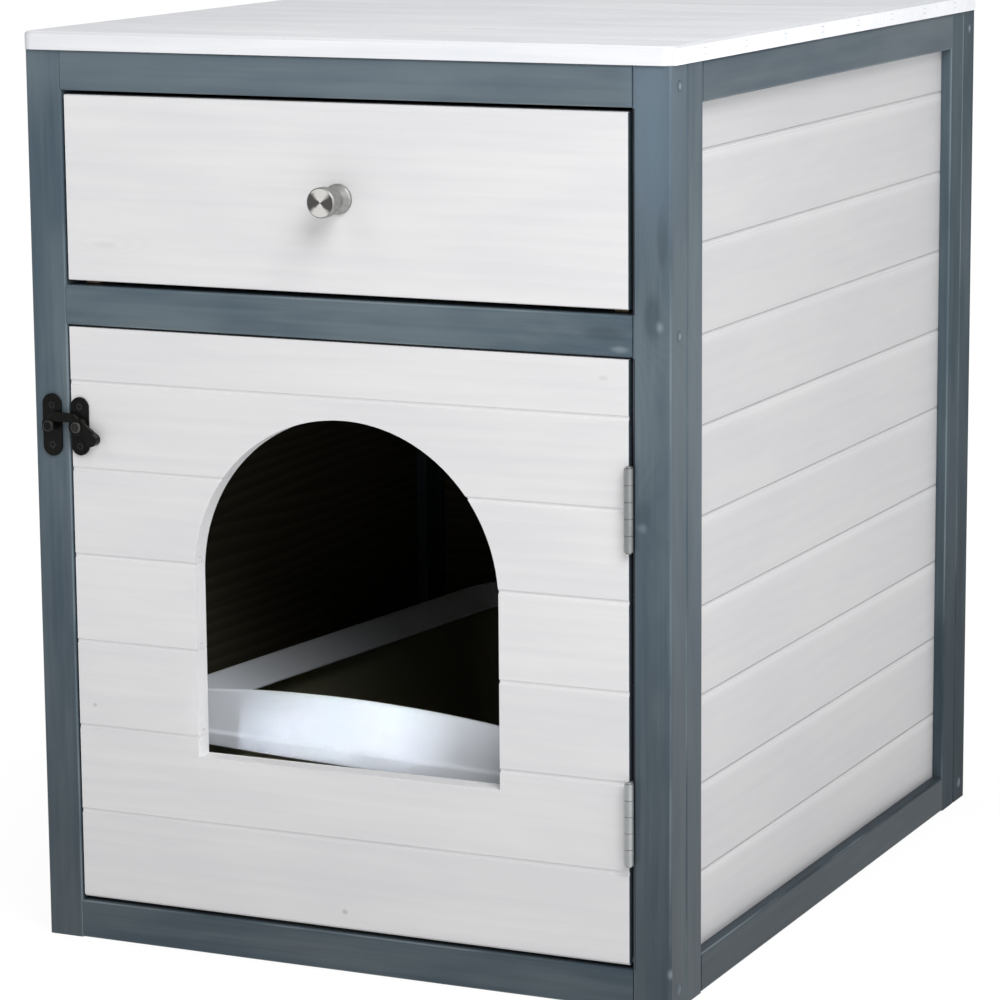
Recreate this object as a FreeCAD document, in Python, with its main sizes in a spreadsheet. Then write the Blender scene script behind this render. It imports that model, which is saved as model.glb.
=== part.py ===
import FreeCAD, Part
import math
import os
import Sketcher

# Driving dimensions, in millimetres
SIZES = {
    # cabinet and its square frame timbers
    "width": 480,
    "depth": 622,
    "frame_height": 630.5,
    "timber": 27.5,
    "timber_round": 2,
    "drawer_opening": 134.5,
    # tongue-and-groove boards
    "board_cover": 61.4,
    "board_thickness": 11,
    "board_gap": 0.15,
    "board_bevel": 1.8,
    "tongue_length": 4.5,
    "tongue_thickness": 3.6,
    "tongue_play": 0.3,
    # boards held in grooves of the side and back frames
    "panel_recess": 8.5,
    "groove_depth": 11,
    "groove_play": 0.25,
    # top
    "top_thickness": 12.5,
    "top_overhang": 2,
    "top_round": 3,
    "top_corner": 8,
    "top_board_cover": 73.5,
    "top_first_board": 53,
    "top_bevel": 0.8,
    "top_batten_width": 28,
    "top_batten_thickness": 18,
    "top_batten_spread": 300,
    # door
    "door_recess": 0.5,
    "door_thickness": 14.5,
    "door_latch_gap": 1.8,
    "door_hinge_gap": 2.4,
    "door_top_gap": 1.5,
    "door_bottom_gap": 3,
    "door_first_board": 38.5,
    "door_last_board": 63.5,
    "door_batten_width": 30,
    "door_batten_thickness": 11,
    "door_batten_spread": 300,
    "door_batten_end_gap": 20,
    "door_stop_width": 10,
    "door_stop_height": 120,
    "opening_width": 231,
    "opening_lintel": 53,
    "opening_sill": 111.5,
    # floor, shelf and their cleats
    "panel_play": 0.3,
    "floor_height": 26,
    "floor_thickness": 8,
    "shelf_thickness": 8,
    "cleat": 14,
    # drawer
    "drawer_recess": 0.5,
    "drawer_front_thickness": 14.5,
    "drawer_side_gap": 2.5,
    "drawer_top_gap": 2.8,
    "drawer_bottom_gap": 3.7,
    "drawer_length": 380,
    "drawer_wall": 10,
    "drawer_headroom": 36.1,
    "drawer_bottom_thickness": 4,
    "drawer_bottom_lift": 8,
    "drawer_groove_depth": 5,
    "drawer_run_gap": 0.4,
    "drawer_guide_width": 8,
    "drawer_stop_length": 12,
    "edge_round": 1.2,
    # knob
    "knob_length": 26.5,
    "knob_radius": 10.3,
    "knob_neck_radius": 6,
    "knob_head_length": 7,
    "knob_flange_length": 2.8,
    "knob_edge_round": 0.9,
    "knob_screw_radius": 2,
    "knob_screw_depth": 12,
    # hinges
    "hinge_length": 56,
    "hinge_inset": 98.5,
    "leaf_thickness": 1,
    "leaf_depth": 12,
    "knuckle_radius": 3.1,
    "knuckle_lift": 0.2,
    "knuckle_play": 0.3,
    "pin_radius": 1.5,
    "pin_play": 0.05,
    "pin_head_radius": 2.1,
    "pin_head_length": 0.9,
    # latch
    "latch_drop": 69.5,
    "keeper_width": 14.8,
    "keeper_height": 44,
    "plate_width": 13.8,
    "plate_height": 41,
    "plate_thickness": 1.6,
    "latch_screw_spread": 28,
    "plate_inset": 7.1,
    "boss_height": 1.8,
    "lever_thickness": 2.6,
    "lever_play": 0.3,
    "lever_boss_radius": 6.2,
    "lever_rise": 10.2,
    "lever_waist": 7,
    "claw_width": 3.4,
    "claw_drop": 2,
    "lever_round": 4,
    "thumb_reach": 13,
    "thumb_drop": 8,
    "thumb_radius": 4.5,
    "thumb_rise": 3.5,
    "stud_radius": 2,
    "stud_head_radius": 4.2,
    "stud_head_height": 2.8,
    "rivet_radius": 2.2,
    "rivet_head_radius": 4,
    "rivet_head_height": 2,
    # screws
    "frame_screw_radius": 2,
    "frame_screw_head_radius": 3.6,
    "frame_screw_length": 50,
    "small_screw_radius": 1.2,
    "small_screw_length": 13,
    "screw_play": 0.05,
    "slot_depth": 0.9,
    "slot_width": 0.7,
    # litter tray
    "tray_side_gap": 25.5,
    "tray_front_gap": 74,
    "tray_rear_gap": 50.5,
    "tray_corner": 48,
    "tray_lift": 0.3,
    "tray_turn": 7,
    "pan_wall": 2.4,
    "pan_draft": 5,
    "pan_bottom_round": 8,
    "rim_lip_height": 100.3,
    "rim_height": 32,
    "rim_lip_rise": 8,
    "rim_lip_step": 1.6,
    "rim_lean": 7,
    "rim_slope_width": 24,
    "rim_slope_drop": 13,
    "rim_wall": 2.2,
    "rim_play": 0.2,
}

document = FreeCAD.newDocument("litter_box_enclosure")
sheet = document.addObject("Spreadsheet::Sheet", "Sizes")
for line, (alias, number) in enumerate(SIZES.items(), start=1):
    sheet.set(f"A{line}", alias)
    sheet.set(f"B{line}", str(number))
    sheet.setAlias(f"B{line}", alias)
document.recompute()

# Places that several pieces share, as expressions on the sheet
HALF = "Sizes.width / 2"
INNER = "(Sizes.width / 2 - Sizes.timber)"
FRONT = "((Sizes.knob_length - Sizes.drawer_recess - Sizes.depth - Sizes.top_overhang) / 2)"
FRAME_REAR = f"({FRONT} + Sizes.timber)"
BACK = f"({FRONT} + Sizes.depth)"
BACK_FRAME = f"({BACK} - Sizes.timber)"
BACK_SCREW_Y = f"({BACK} - Sizes.timber / 2)"
BOARD_OUTER = f"({HALF} - Sizes.panel_recess)"
BOARD_INNER = f"({HALF} - Sizes.panel_recess - Sizes.board_thickness)"
BACK_BOARD_OUTER = f"({BACK} - Sizes.panel_recess)"
BACK_BOARD_INNER = f"({BACK} - Sizes.panel_recess - Sizes.board_thickness)"
TOP_RAIL = "(Sizes.frame_height - Sizes.timber)"
MIDDLE_RAIL = f"({TOP_RAIL} - Sizes.drawer_opening - Sizes.timber)"
MIDDLE_TOP = f"({MIDDLE_RAIL} + Sizes.timber)"
DOOR_FACE = f"({FRONT} + Sizes.door_recess)"
DOOR_REAR = f"({FRONT} + Sizes.door_recess + Sizes.door_thickness)"
DOOR_LEFT = f"(-{INNER} + Sizes.door_latch_gap)"
DOOR_RIGHT = f"({INNER} - Sizes.door_hinge_gap)"
DOOR_BOTTOM = "(Sizes.timber + Sizes.door_bottom_gap)"
DOOR_TOP = f"({MIDDLE_RAIL} - Sizes.door_top_gap)"
SHELF_TOP = MIDDLE_TOP
DOOR_BOARDS = 7
DOOR_COVER = (f"(({DOOR_TOP} - {DOOR_BOTTOM} - Sizes.door_first_board - Sizes.door_last_board)"
              f" / {DOOR_BOARDS - 2})")
LATCH_Z = f"({DOOR_TOP} - Sizes.latch_drop)"

AXES = {"X": FreeCAD.Vector(1, 0, 0), "Y": FreeCAD.Vector(0, 1, 0), "Z": FreeCAD.Vector(0, 0, 1)}
PLANES = {"X": "YZ_Plane", "Y": "XZ_Plane", "Z": "XY_Plane"}
PAIRS = {"X": ("Y", "Z"), "Y": ("X", "Z"), "Z": ("X", "Y")}
# turns that point a local +Z along each direction
TURNS = {
    "+Z": FreeCAD.Rotation(),
    "+Y": FreeCAD.Rotation(AXES["X"], -90),
    "-Y": FreeCAD.Rotation(AXES["X"], 90),
    "+X": FreeCAD.Rotation(AXES["Y"], 90),
    "-X": FreeCAD.Rotation(AXES["Y"], -90),
}
pieces = []


def value(expression):
    return float(sheet.evalExpression(str(expression)))


def bind(thing, **sizes):
    for name, expression in sizes.items():
        thing.setExpression(name.replace("__", "."), str(expression))


def place(thing, x=0, y=0, z=0, turn=None):
    spot = FreeCAD.Vector(value(x), value(y), value(z))
    thing.Placement = FreeCAD.Placement(spot, turn or FreeCAD.Rotation())
    bind(thing, Placement__Base__x=x, Placement__Base__y=y, Placement__Base__z=z)
    return thing


def keep(thing, node):
    """name a finished sub-part"""
    thing.Label = node
    pieces.append(thing)
    return thing


# Small builders: sketches, prisms and primitives bound to the sheet


def origin_plane(body, axis):
    return next(item for item in body.Origin.OriginFeatures if item.Role == PLANES[axis])


def add_sketch(body, axis, name, offset="0"):
    sketch = body.newObject("Sketcher::SketchObject", name)
    sketch.AttachmentSupport = (origin_plane(body, axis), [""])
    sketch.MapMode = "FlatFace"
    bind(sketch, AttachmentOffset__Base__z=offset)
    return sketch


def pin_point(sketch, geometry, end, spot):
    for kind, expression, axis in (("DistanceX", spot[0], -2), ("DistanceY", spot[1], -1)):
        if abs(value(expression)) < 1e-9:
            sketch.addConstraint(Sketcher.Constraint("PointOnObject", geometry, end, axis))
        else:
            index = sketch.addConstraint(
                Sketcher.Constraint(kind, -1, 1, geometry, end, value(expression))
            )
            sketch.setExpression(f"Constraints[{index}]", str(expression))


def draw_polygon(sketch, corners):
    spots = [FreeCAD.Vector(value(u), value(v), 0) for u, v in corners]
    count = len(spots)
    for index in range(count):
        sketch.addGeometry(Part.LineSegment(spots[index], spots[(index + 1) % count]), False)
    for index in range(count):
        sketch.addConstraint(Sketcher.Constraint("Coincident", index, 2, (index + 1) % count, 1))
    for index, corner in enumerate(corners):
        pin_point(sketch, index, 1, corner)
    return sketch


def rectangle(low_u, high_u, low_v, high_v):
    return [(low_u, low_v), (high_u, low_v), (high_u, high_v), (low_u, high_v)]


def round_edges(body, feature, along, radius, chosen=None):
    """fillet the edges that run along an axis, at the outline's outer corners"""
    box = feature.Shape.BoundBox
    lows = {"X": box.XMin, "Y": box.YMin, "Z": box.ZMin}
    highs = {"X": box.XMax, "Y": box.YMax, "Z": box.ZMax}
    names = []
    for index, edge in enumerate(feature.Shape.Edges, start=1):
        direction = edge.tangentAt(edge.FirstParameter)
        if abs(direction.dot(AXES[along])) < 0.999:
            continue
        middle = edge.CenterOfMass
        spot = {"X": middle.x, "Y": middle.y, "Z": middle.z}
        sides = "".join(
            axis.lower() if abs(spot[axis] - lows[axis]) < 1e-4 else
            axis.upper() if abs(spot[axis] - highs[axis]) < 1e-4 else "-"
            for axis in PAIRS[along]
        )
        if "-" not in sides and (chosen is None or sides in chosen):
            names.append(f"Edge{index}")
    fillet = body.newObject("PartDesign::Fillet", "Rounding")
    fillet.Base = (feature, names)
    bind(fillet, Radius=radius)
    return fillet


def prism(name, along, outline, start, length, rounding=None, corners=None):
    """a body of one cross-section, laid along an axis from its start"""
    body = document.addObject("PartDesign::Body", name)
    sketch = draw_polygon(add_sketch(body, along, "Section"), outline)
    pad = body.newObject("PartDesign::Pad", "Length")
    pad.Profile = sketch
    pad.Reversed = along == "Y"
    bind(pad, Length=length)
    place(body, **{along.lower(): start})
    document.recompute()
    if rounding:
        round_edges(body, pad, along, rounding, corners)
        document.recompute()
    return body


def drill(body, axis, x, y, z, radius, depth, start="0", along="Z", flare=None):
    """cut a round hole into a body, from a mouth at x, y, z towards the axis sign;
    start and along say where the body itself was placed"""
    spot = {"X": x, "Y": y, "Z": z}
    spot[along] = f"{spot[along]} - ({start})"
    hole = body.newObject("PartDesign::SubtractiveCylinder", "Hole")
    bind(hole, Radius=radius, Height=depth)
    place(hole, spot["X"], spot["Y"], spot["Z"], TURNS[axis])
    if flare:
        sink = body.newObject("PartDesign::SubtractiveCone", "Countersink")
        bind(sink, Radius1=flare, Radius2=radius, Height=f"{flare} - ({radius})")
        place(sink, spot["X"], spot["Y"], spot["Z"], TURNS[axis])
    document.recompute()


def box(name, size_x, size_y, size_z, x, y, z):
    solid = document.addObject("Part::Box", name)
    bind(solid, Length=size_x, Width=size_y, Height=size_z)
    return place(solid, x, y, z)


def cylinder(name, radius, height, x, y, z, axis="+Z"):
    solid = document.addObject("Part::Cylinder", name)
    bind(solid, Radius=radius, Height=height)
    return place(solid, x, y, z, TURNS[axis])


def cone(name, radius_start, radius_end, height, x, y, z, axis="+Z"):
    solid = document.addObject("Part::Cone", name)
    bind(solid, Radius1=radius_start, Radius2=radius_end, Height=height)
    return place(solid, x, y, z, TURNS[axis])


def fuse(name, solids):
    if len(solids) == 1:
        return solids[0]
    joined = document.addObject("Part::MultiFuse", name)
    joined.Shapes = solids
    return joined


def cut(name, base, tool):
    result = document.addObject("Part::Cut", name)
    result.Base = base
    result.Tool = tool
    return result


def common(name, base, tool):
    result = document.addObject("Part::Common", name)
    result.Base = base
    result.Tool = tool
    return result


def group(node, solids):
    compound = document.addObject("Part::Compound", node)
    compound.Links = solids
    return keep(compound, node)


def screw(axis, x, y, z, radius, head_radius, length, slot=True):
    """a countersunk screw whose flat head lies at x, y, z and whose point goes towards the axis sign"""
    head = cone("Head", head_radius, radius, f"{head_radius} - ({radius})", 0, 0, 0)
    shank = cylinder("Shank", radius, f"{length} - ({radius})", 0, 0, 0)
    point = cone("Point", radius, "Sizes.slot_width / 4", radius, 0, 0, f"{length} - ({radius})")
    body = fuse("Screw", [head, shank, point])
    if slot:
        reach = f"({head_radius} * 0.55)"
        bars = [
            box("Bar", f"2 * {reach}", "Sizes.slot_width", "Sizes.slot_depth",
                f"-{reach}", "-Sizes.slot_width / 2", 0),
            box("Bar", "Sizes.slot_width", f"2 * {reach}", "Sizes.slot_depth",
                "-Sizes.slot_width / 2", f"-{reach}", 0),
        ]
        body = cut("SlottedScrew", body, fuse("Cross", bars))
    return place(body, x, y, z, TURNS[axis])


# Boards


def board_section(cover, thickness, bevel):
    """tongue-and-groove section: u runs in from the outer face, v up from the lower edge"""
    tongue_low = f"({thickness} - Sizes.tongue_thickness) / 2"
    tongue_high = f"({thickness} + Sizes.tongue_thickness) / 2"
    top = f"({cover} - Sizes.board_gap)"
    groove_top = "(Sizes.tongue_length + Sizes.tongue_play)"
    return [
        ("0", bevel),
        (bevel, "0"),
        (f"{tongue_low} - Sizes.tongue_play", "0"),
        (f"{tongue_low} - Sizes.tongue_play", groove_top),
        (f"{tongue_high} + Sizes.tongue_play", groove_top),
        (f"{tongue_high} + Sizes.tongue_play", "0"),
        (thickness, "0"),
        (thickness, top),
        (tongue_high, top),
        (tongue_high, f"{top} + Sizes.tongue_length"),
        (tongue_low, f"{top} + Sizes.tongue_length"),
        (tongue_low, top),
        (bevel, top),
        ("0", f"{top} - {bevel}"),
    ]


def board(cover, thickness, length, bevel="Sizes.board_bevel"):
    """one board standing on edge: outer face at y = 0 and facing -Y, running along +X"""
    body = document.addObject("PartDesign::Body", "Board")
    sketch = draw_polygon(add_sketch(body, "X", "Section"), board_section(cover, thickness, bevel))
    pad = body.newObject("PartDesign::Pad", "Length")
    pad.Profile = sketch
    bind(pad, Length=length)
    document.recompute()
    return body


def board_panel(node, cover, thickness, length, first, span, turn, corner, frame, bevel="Sizes.board_bevel"):
    """boards side by side, the lowest one's edge at first, trimmed to span; frame is the trimming solid"""
    body = board(cover, thickness, length, bevel)
    count = math.ceil(value(f"(({span}) - ({first})) / {cover}"))
    row = body.newObject("PartDesign::LinearPattern", "Boards")
    row.Originals = [body.Tip]
    row.Direction = (next(i for i in body.Origin.OriginFeatures if i.Role == "Z_Axis"), [""])
    row.Mode = "Spacing"
    bind(row, Offset=cover)
    row.Occurrences = count
    body.Tip = row
    place(body, corner[0], corner[1], corner[2], turn)
    document.recompute()
    return keep(common(node, body, frame), node)


# Front frame


def front_frame():
    """two posts with three rails between them, screwed through the posts"""
    screws_at = ("Sizes.timber / 2", f"{MIDDLE_RAIL} + Sizes.timber / 2",
                 "Sizes.frame_height - Sizes.timber / 2")
    posts = {"left": (f"-{HALF}", f"-{INNER}"), "right": (INNER, HALF)}
    for side, (low, high) in posts.items():
        name = f"front_{side}_post"
        post = prism(name, "Z", rectangle(low, high, FRONT, FRAME_REAR), "0", "Sizes.frame_height",
                     "Sizes.timber_round")
        sign = "-X" if side == "right" else "+X"
        outer = HALF if side == "right" else f"-{HALF}"
        for height in screws_at:
            drill(post, sign, outer, f"{FRONT} + Sizes.timber / 2", height,
                  "Sizes.frame_screw_radius + Sizes.screw_play", "Sizes.timber",
                  flare="Sizes.frame_screw_head_radius + Sizes.screw_play")
        if side == "right":
            for height in hinge_screw_heights():
                drill(post, "+X", INNER, hinge_screw_y(), height, PILOT_RADIUS, "Sizes.small_screw_length")
        else:
            for height in latch_screw_heights():
                drill(post, "+Y", KEEPER_X, FRONT, height, PILOT_RADIUS, "Sizes.small_screw_length")
        keep(post, name)
    rails = {"bottom": "0", "middle": MIDDLE_RAIL, "top": TOP_RAIL}
    for level, height in rails.items():
        name = f"front_{level}_rail"
        outline = rectangle(FRONT, FRAME_REAR, height, f"{height} + Sizes.timber")
        rail = prism(name, "X", outline, f"-{INNER}", f"2 * {INNER}", "Sizes.timber_round")
        rail_pilots(rail, f"{FRONT} + Sizes.timber / 2", f"{height} + Sizes.timber / 2")
        keep(rail, name)


def rail_pilots(rail, y, z):
    """a pilot hole in each end of a rail for the frame screws"""
    depth = "Sizes.frame_screw_length - Sizes.timber + 2 * Sizes.screw_play"
    for sign, mouth in (("+X", f"-{INNER}"), ("-X", INNER)):
        drill(rail, sign, mouth, y, z, "Sizes.frame_screw_radius + Sizes.screw_play", depth,
              start=f"-{INNER}", along="X")


# Side and back frames with their boards


def grooved(low, high, groove_low, groove_high, groove_side, low_v, high_v):
    """a timber section with a groove for the boards in one of its faces"""
    deep = "Sizes.groove_depth"
    if groove_side == "v_high":
        return [(low, low_v), (high, low_v), (high, high_v), (groove_high, high_v),
                (groove_high, f"{high_v} - {deep}"), (groove_low, f"{high_v} - {deep}"),
                (groove_low, high_v), (low, high_v)]
    if groove_side == "v_low":
        return [(low, low_v), (groove_low, low_v), (groove_low, f"{low_v} + {deep}"),
                (groove_high, f"{low_v} + {deep}"), (groove_high, low_v), (high, low_v),
                (high, high_v), (low, high_v)]
    # groove in a face of constant u: low and high bound v here
    if groove_side == "u_high":
        return [(low_v, low), (high_v, low), (high_v, groove_low), (f"{high_v} - {deep}", groove_low),
                (f"{high_v} - {deep}", groove_high), (high_v, groove_high), (high_v, high), (low_v, high)]
    return [(low_v, low), (high_v, low), (high_v, high), (low_v, high), (low_v, groove_high),
            (f"{low_v} + {deep}", groove_high), (f"{low_v} + {deep}", groove_low), (low_v, groove_low)]


def side_frame(side):
    """two posts and two rails around a panel of boards"""
    sign = 1 if side == "right" else -1
    spans = sorted([f"{sign} * {HALF}", f"{sign} * {INNER}"], key=value)
    play = "Sizes.groove_play"
    grooves = sorted([f"{sign} * ({BOARD_OUTER} + {play})", f"{sign} * ({BOARD_INNER} - {play})"], key=value)
    post_ends = {"front": FRAME_REAR, "rear": f"({BACK_FRAME} - Sizes.timber)"}
    for end, y in post_ends.items():
        outline = grooved(*spans, *grooves, "v_high" if end == "front" else "v_low", y, f"{y} + Sizes.timber")
        name = f"{side}_side_{end}_post"
        keep(prism(name, "Z", outline, "0", "Sizes.frame_height", "Sizes.timber_round"), name)
    start = f"({FRAME_REAR} + Sizes.timber)"
    length = f"({BACK_FRAME} - {FRAME_REAR} - 2 * Sizes.timber)"
    for level, z in {"bottom": "0", "top": TOP_RAIL}.items():
        groove_side = "v_high" if level == "bottom" else "v_low"
        outline = grooved(*spans, *grooves, groove_side, z, f"{z} + Sizes.timber")
        name = f"{side}_side_{level}_rail"
        keep(prism(name, "Y", outline, start, length, "Sizes.timber_round"), name)
    side_boards(side, sign, start, length)


def side_boards(side, sign, start, length):
    reach = "(Sizes.groove_depth - Sizes.groove_play)"
    low = f"(Sizes.timber - {reach})"
    high = f"({TOP_RAIL} + {reach})"
    outer = f"{sign} * {BOARD_OUTER}"
    trim = box("Trim", "Sizes.board_thickness", f"{length} + 2 * {reach}", f"{high} - {low}",
               f"{BOARD_INNER}" if sign > 0 else f"-{BOARD_OUTER}", f"{start} - {reach}", low)
    if sign > 0:
        turn, y = FreeCAD.Rotation(AXES["Z"], 90), f"{start} - {reach}"
    else:
        turn, y = FreeCAD.Rotation(AXES["Z"], -90), f"{start} + {length} + {reach}"
    board_panel(f"{side}_side_boards", "Sizes.board_cover", "Sizes.board_thickness",
                f"{length} + 2 * {reach}",
                low, high, turn, (outer, y, low), trim)


def back_frame():
    """the rear frame: two posts, two rails and its boards"""
    play = "Sizes.groove_play"
    grooves = (f"{BACK_BOARD_INNER} - {play}", f"{BACK_BOARD_OUTER} + {play}")
    for side in ("left", "right"):
        name = f"back_{side}_post"
        if side == "right":
            outline = grooved(BACK_FRAME, BACK, *grooves, "u_low", INNER, HALF)
        else:
            outline = grooved(BACK_FRAME, BACK, *grooves, "u_high", f"-{HALF}", f"-{INNER}")
        post = prism(name, "Z", outline, "0", "Sizes.frame_height", "Sizes.timber_round")
        mouth = HALF if side == "right" else f"-{HALF}"
        for height in ("Sizes.timber / 2", "Sizes.frame_height - Sizes.timber / 2"):
            drill(post, "-X" if side == "right" else "+X", mouth, BACK_SCREW_Y, height,
                  "Sizes.frame_screw_radius + Sizes.screw_play", "Sizes.timber",
                  flare="Sizes.frame_screw_head_radius + Sizes.screw_play")
        keep(post, name)
    for level, z in {"bottom": "0", "top": TOP_RAIL}.items():
        name = f"back_{level}_rail"
        outline = grooved(BACK_FRAME, BACK, *grooves, "v_high" if level == "bottom" else "v_low",
                          z, f"{z} + Sizes.timber")
        rail = prism(name, "X", outline, f"-{INNER}", f"2 * {INNER}", "Sizes.timber_round")
        rail_pilots(rail, BACK_SCREW_Y, f"{z} + Sizes.timber / 2")
        keep(rail, name)
    reach = "(Sizes.groove_depth - Sizes.groove_play)"
    low = f"(Sizes.timber - {reach})"
    high = f"({TOP_RAIL} + {reach})"
    trim = box("Trim", f"2 * ({INNER} + {reach})", "Sizes.board_thickness", f"{high} - {low}",
               f"-({INNER} + {reach})", BACK_BOARD_INNER, low)
    board_panel("back_boards", "Sizes.board_cover", "Sizes.board_thickness", f"2 * ({INNER} + {reach})",
                low, high, FreeCAD.Rotation(AXES["Z"], 180),
                (f"{INNER} + {reach}", BACK_BOARD_OUTER, low), trim)


def frame_screws():
    solids = []
    front_y = f"{FRONT} + Sizes.timber / 2"
    middle = f"{MIDDLE_RAIL} + Sizes.timber / 2"
    heights = ("Sizes.timber / 2", "Sizes.frame_height - Sizes.timber / 2")
    spots = [(front_y, height) for height in heights + (middle,)]
    spots += [(BACK_SCREW_Y, height) for height in heights]
    for sign, mouth in (("-X", HALF), ("+X", f"-{HALF}")):
        for y, z in spots:
            solids.append(screw(sign, mouth, y, z, "Sizes.frame_screw_radius",
                                "Sizes.frame_screw_head_radius", "Sizes.frame_screw_length"))
    group("frame_screws", solids)


# Top


def top():
    """boards running across the cabinet, with a rounded outer edge, and two battens under them"""
    over = "Sizes.top_overhang"
    blank = document.addObject("PartDesign::Body", "TopBlank")
    outline = rectangle(f"-{HALF} - {over}", f"{HALF} + {over}", f"{FRONT} - {over}", f"{BACK} + {over}")
    sketch = draw_polygon(add_sketch(blank, "Z", "Section"), outline)
    pad = blank.newObject("PartDesign::Pad", "Length")
    pad.Profile = sketch
    bind(pad, Length="Sizes.top_thickness")
    place(blank, z="Sizes.frame_height")
    document.recompute()
    upper = pad.Shape.BoundBox.ZMax
    lower = pad.Shape.BoundBox.ZMin
    names = [
        f"Edge{index}" for index, edge in enumerate(pad.Shape.Edges, start=1)
        if edge.BoundBox.ZLength > upper - lower - 1e-4
    ]
    corners = blank.newObject("PartDesign::Fillet", "Corners")
    corners.Base = (pad, names)
    bind(corners, Radius="Sizes.top_corner")
    document.recompute()
    names = [
        f"Edge{index}" for index, edge in enumerate(corners.Shape.Edges, start=1)
        if abs(edge.BoundBox.ZMin - upper) < 1e-4
    ]
    rounding = blank.newObject("PartDesign::Fillet", "Rounding")
    rounding.Base = (corners, names)
    bind(rounding, Radius="Sizes.top_round")
    document.recompute()
    first = f"({FRONT} - {over} + Sizes.top_first_board - Sizes.top_board_cover)"
    turn = FreeCAD.Rotation(AXES["X"], -90)
    board_panel("top_boards", "Sizes.top_board_cover", "Sizes.top_thickness", f"Sizes.width + 2 * {over}",
                first, f"{BACK} + {over}", turn,
                (f"-{HALF} - {over}", first, "Sizes.frame_height + Sizes.top_thickness"), blank,
                "Sizes.top_bevel")
    battens = []
    for sign in (-1, 1):
        battens.append(box(
            "Batten", "Sizes.top_batten_width", f"{BACK_FRAME} - {FRAME_REAR}", "Sizes.top_batten_thickness",
            f"{sign} * Sizes.top_batten_spread / 2 - Sizes.top_batten_width / 2", FRAME_REAR,
            "Sizes.frame_height - Sizes.top_batten_thickness"))
    group("top_battens", battens)


# Floor, shelf, cleats and drawer guides


def inner_panels():
    play = "Sizes.panel_play"
    wide = f"2 * ({INNER} - {play})"
    floor = box("floor_panel", wide, f"{BACK_FRAME} - {FRAME_REAR} - 2 * {play}", "Sizes.floor_thickness",
                f"-({INNER} - {play})", f"{FRAME_REAR} + {play}",
                "Sizes.floor_height - Sizes.floor_thickness")
    keep(floor, "floor_panel")
    shelf = box("drawer_shelf", wide, f"{BACK_BOARD_INNER} - {FRAME_REAR} - {play}", "Sizes.shelf_thickness",
                f"-({INNER} - {play})", FRAME_REAR, f"{SHELF_TOP} - Sizes.shelf_thickness")
    keep(shelf, "drawer_shelf")
    for node, top_face in (("floor_cleats", "(Sizes.floor_height - Sizes.floor_thickness)"),
                           ("shelf_cleats", f"({SHELF_TOP} - Sizes.shelf_thickness)")):
        cleats = []
        for x in (f"-{INNER}", f"{INNER} - Sizes.cleat"):
            cleats.append(box("Cleat", "Sizes.cleat", f"{BACK_FRAME} - {FRAME_REAR}", "Sizes.cleat",
                              x, FRAME_REAR, f"{top_face} - Sizes.cleat"))
        group(node, cleats)


DRAWER_LOW = f"({SHELF_TOP} + Sizes.drawer_run_gap)"
DRAWER_HIGH = f"({TOP_RAIL} - Sizes.drawer_headroom)"
DRAWER_BACK = f"({FRONT} + Sizes.drawer_recess + Sizes.drawer_length)"
DRAWER_OUTER = f"({INNER} - Sizes.drawer_guide_width - Sizes.drawer_run_gap)"
DRAWER_FRONT_REAR = f"({FRONT} + Sizes.drawer_recess + Sizes.drawer_front_thickness)"


def drawer_guides():
    """an L-shaped rail at each side: it guides the drawer, keeps it from tipping and stops it at the back"""
    guides = []
    kicker_low = f"({DRAWER_HIGH} + Sizes.drawer_run_gap)"
    kicker_high = f"({kicker_low} + Sizes.drawer_guide_width)"
    for sign in (-1, 1):
        inner = f"{sign} * ({DRAWER_OUTER} - Sizes.drawer_wall)"
        web = f"{sign} * ({INNER} - Sizes.drawer_guide_width)"
        outer = f"{sign} * {INNER}"
        outline = [(outer, SHELF_TOP), (web, SHELF_TOP), (web, kicker_low), (inner, kicker_low),
                   (inner, kicker_high), (outer, kicker_high)]
        rail = prism("Guide", "Y", outline, FRAME_REAR, f"{BACK_FRAME} - {FRAME_REAR}")
        stop_low = sorted([inner, web], key=value)[0]
        stop = box("Stop", f"abs({inner} - ({web}))", "Sizes.drawer_stop_length",
                   f"{kicker_low} - {SHELF_TOP}",
                   stop_low, f"{DRAWER_BACK} + Sizes.drawer_run_gap", SHELF_TOP)
        guides.append(fuse("GuideWithStop", [rail, stop]))
    group("drawer_guides", guides)


# Drawer


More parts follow.
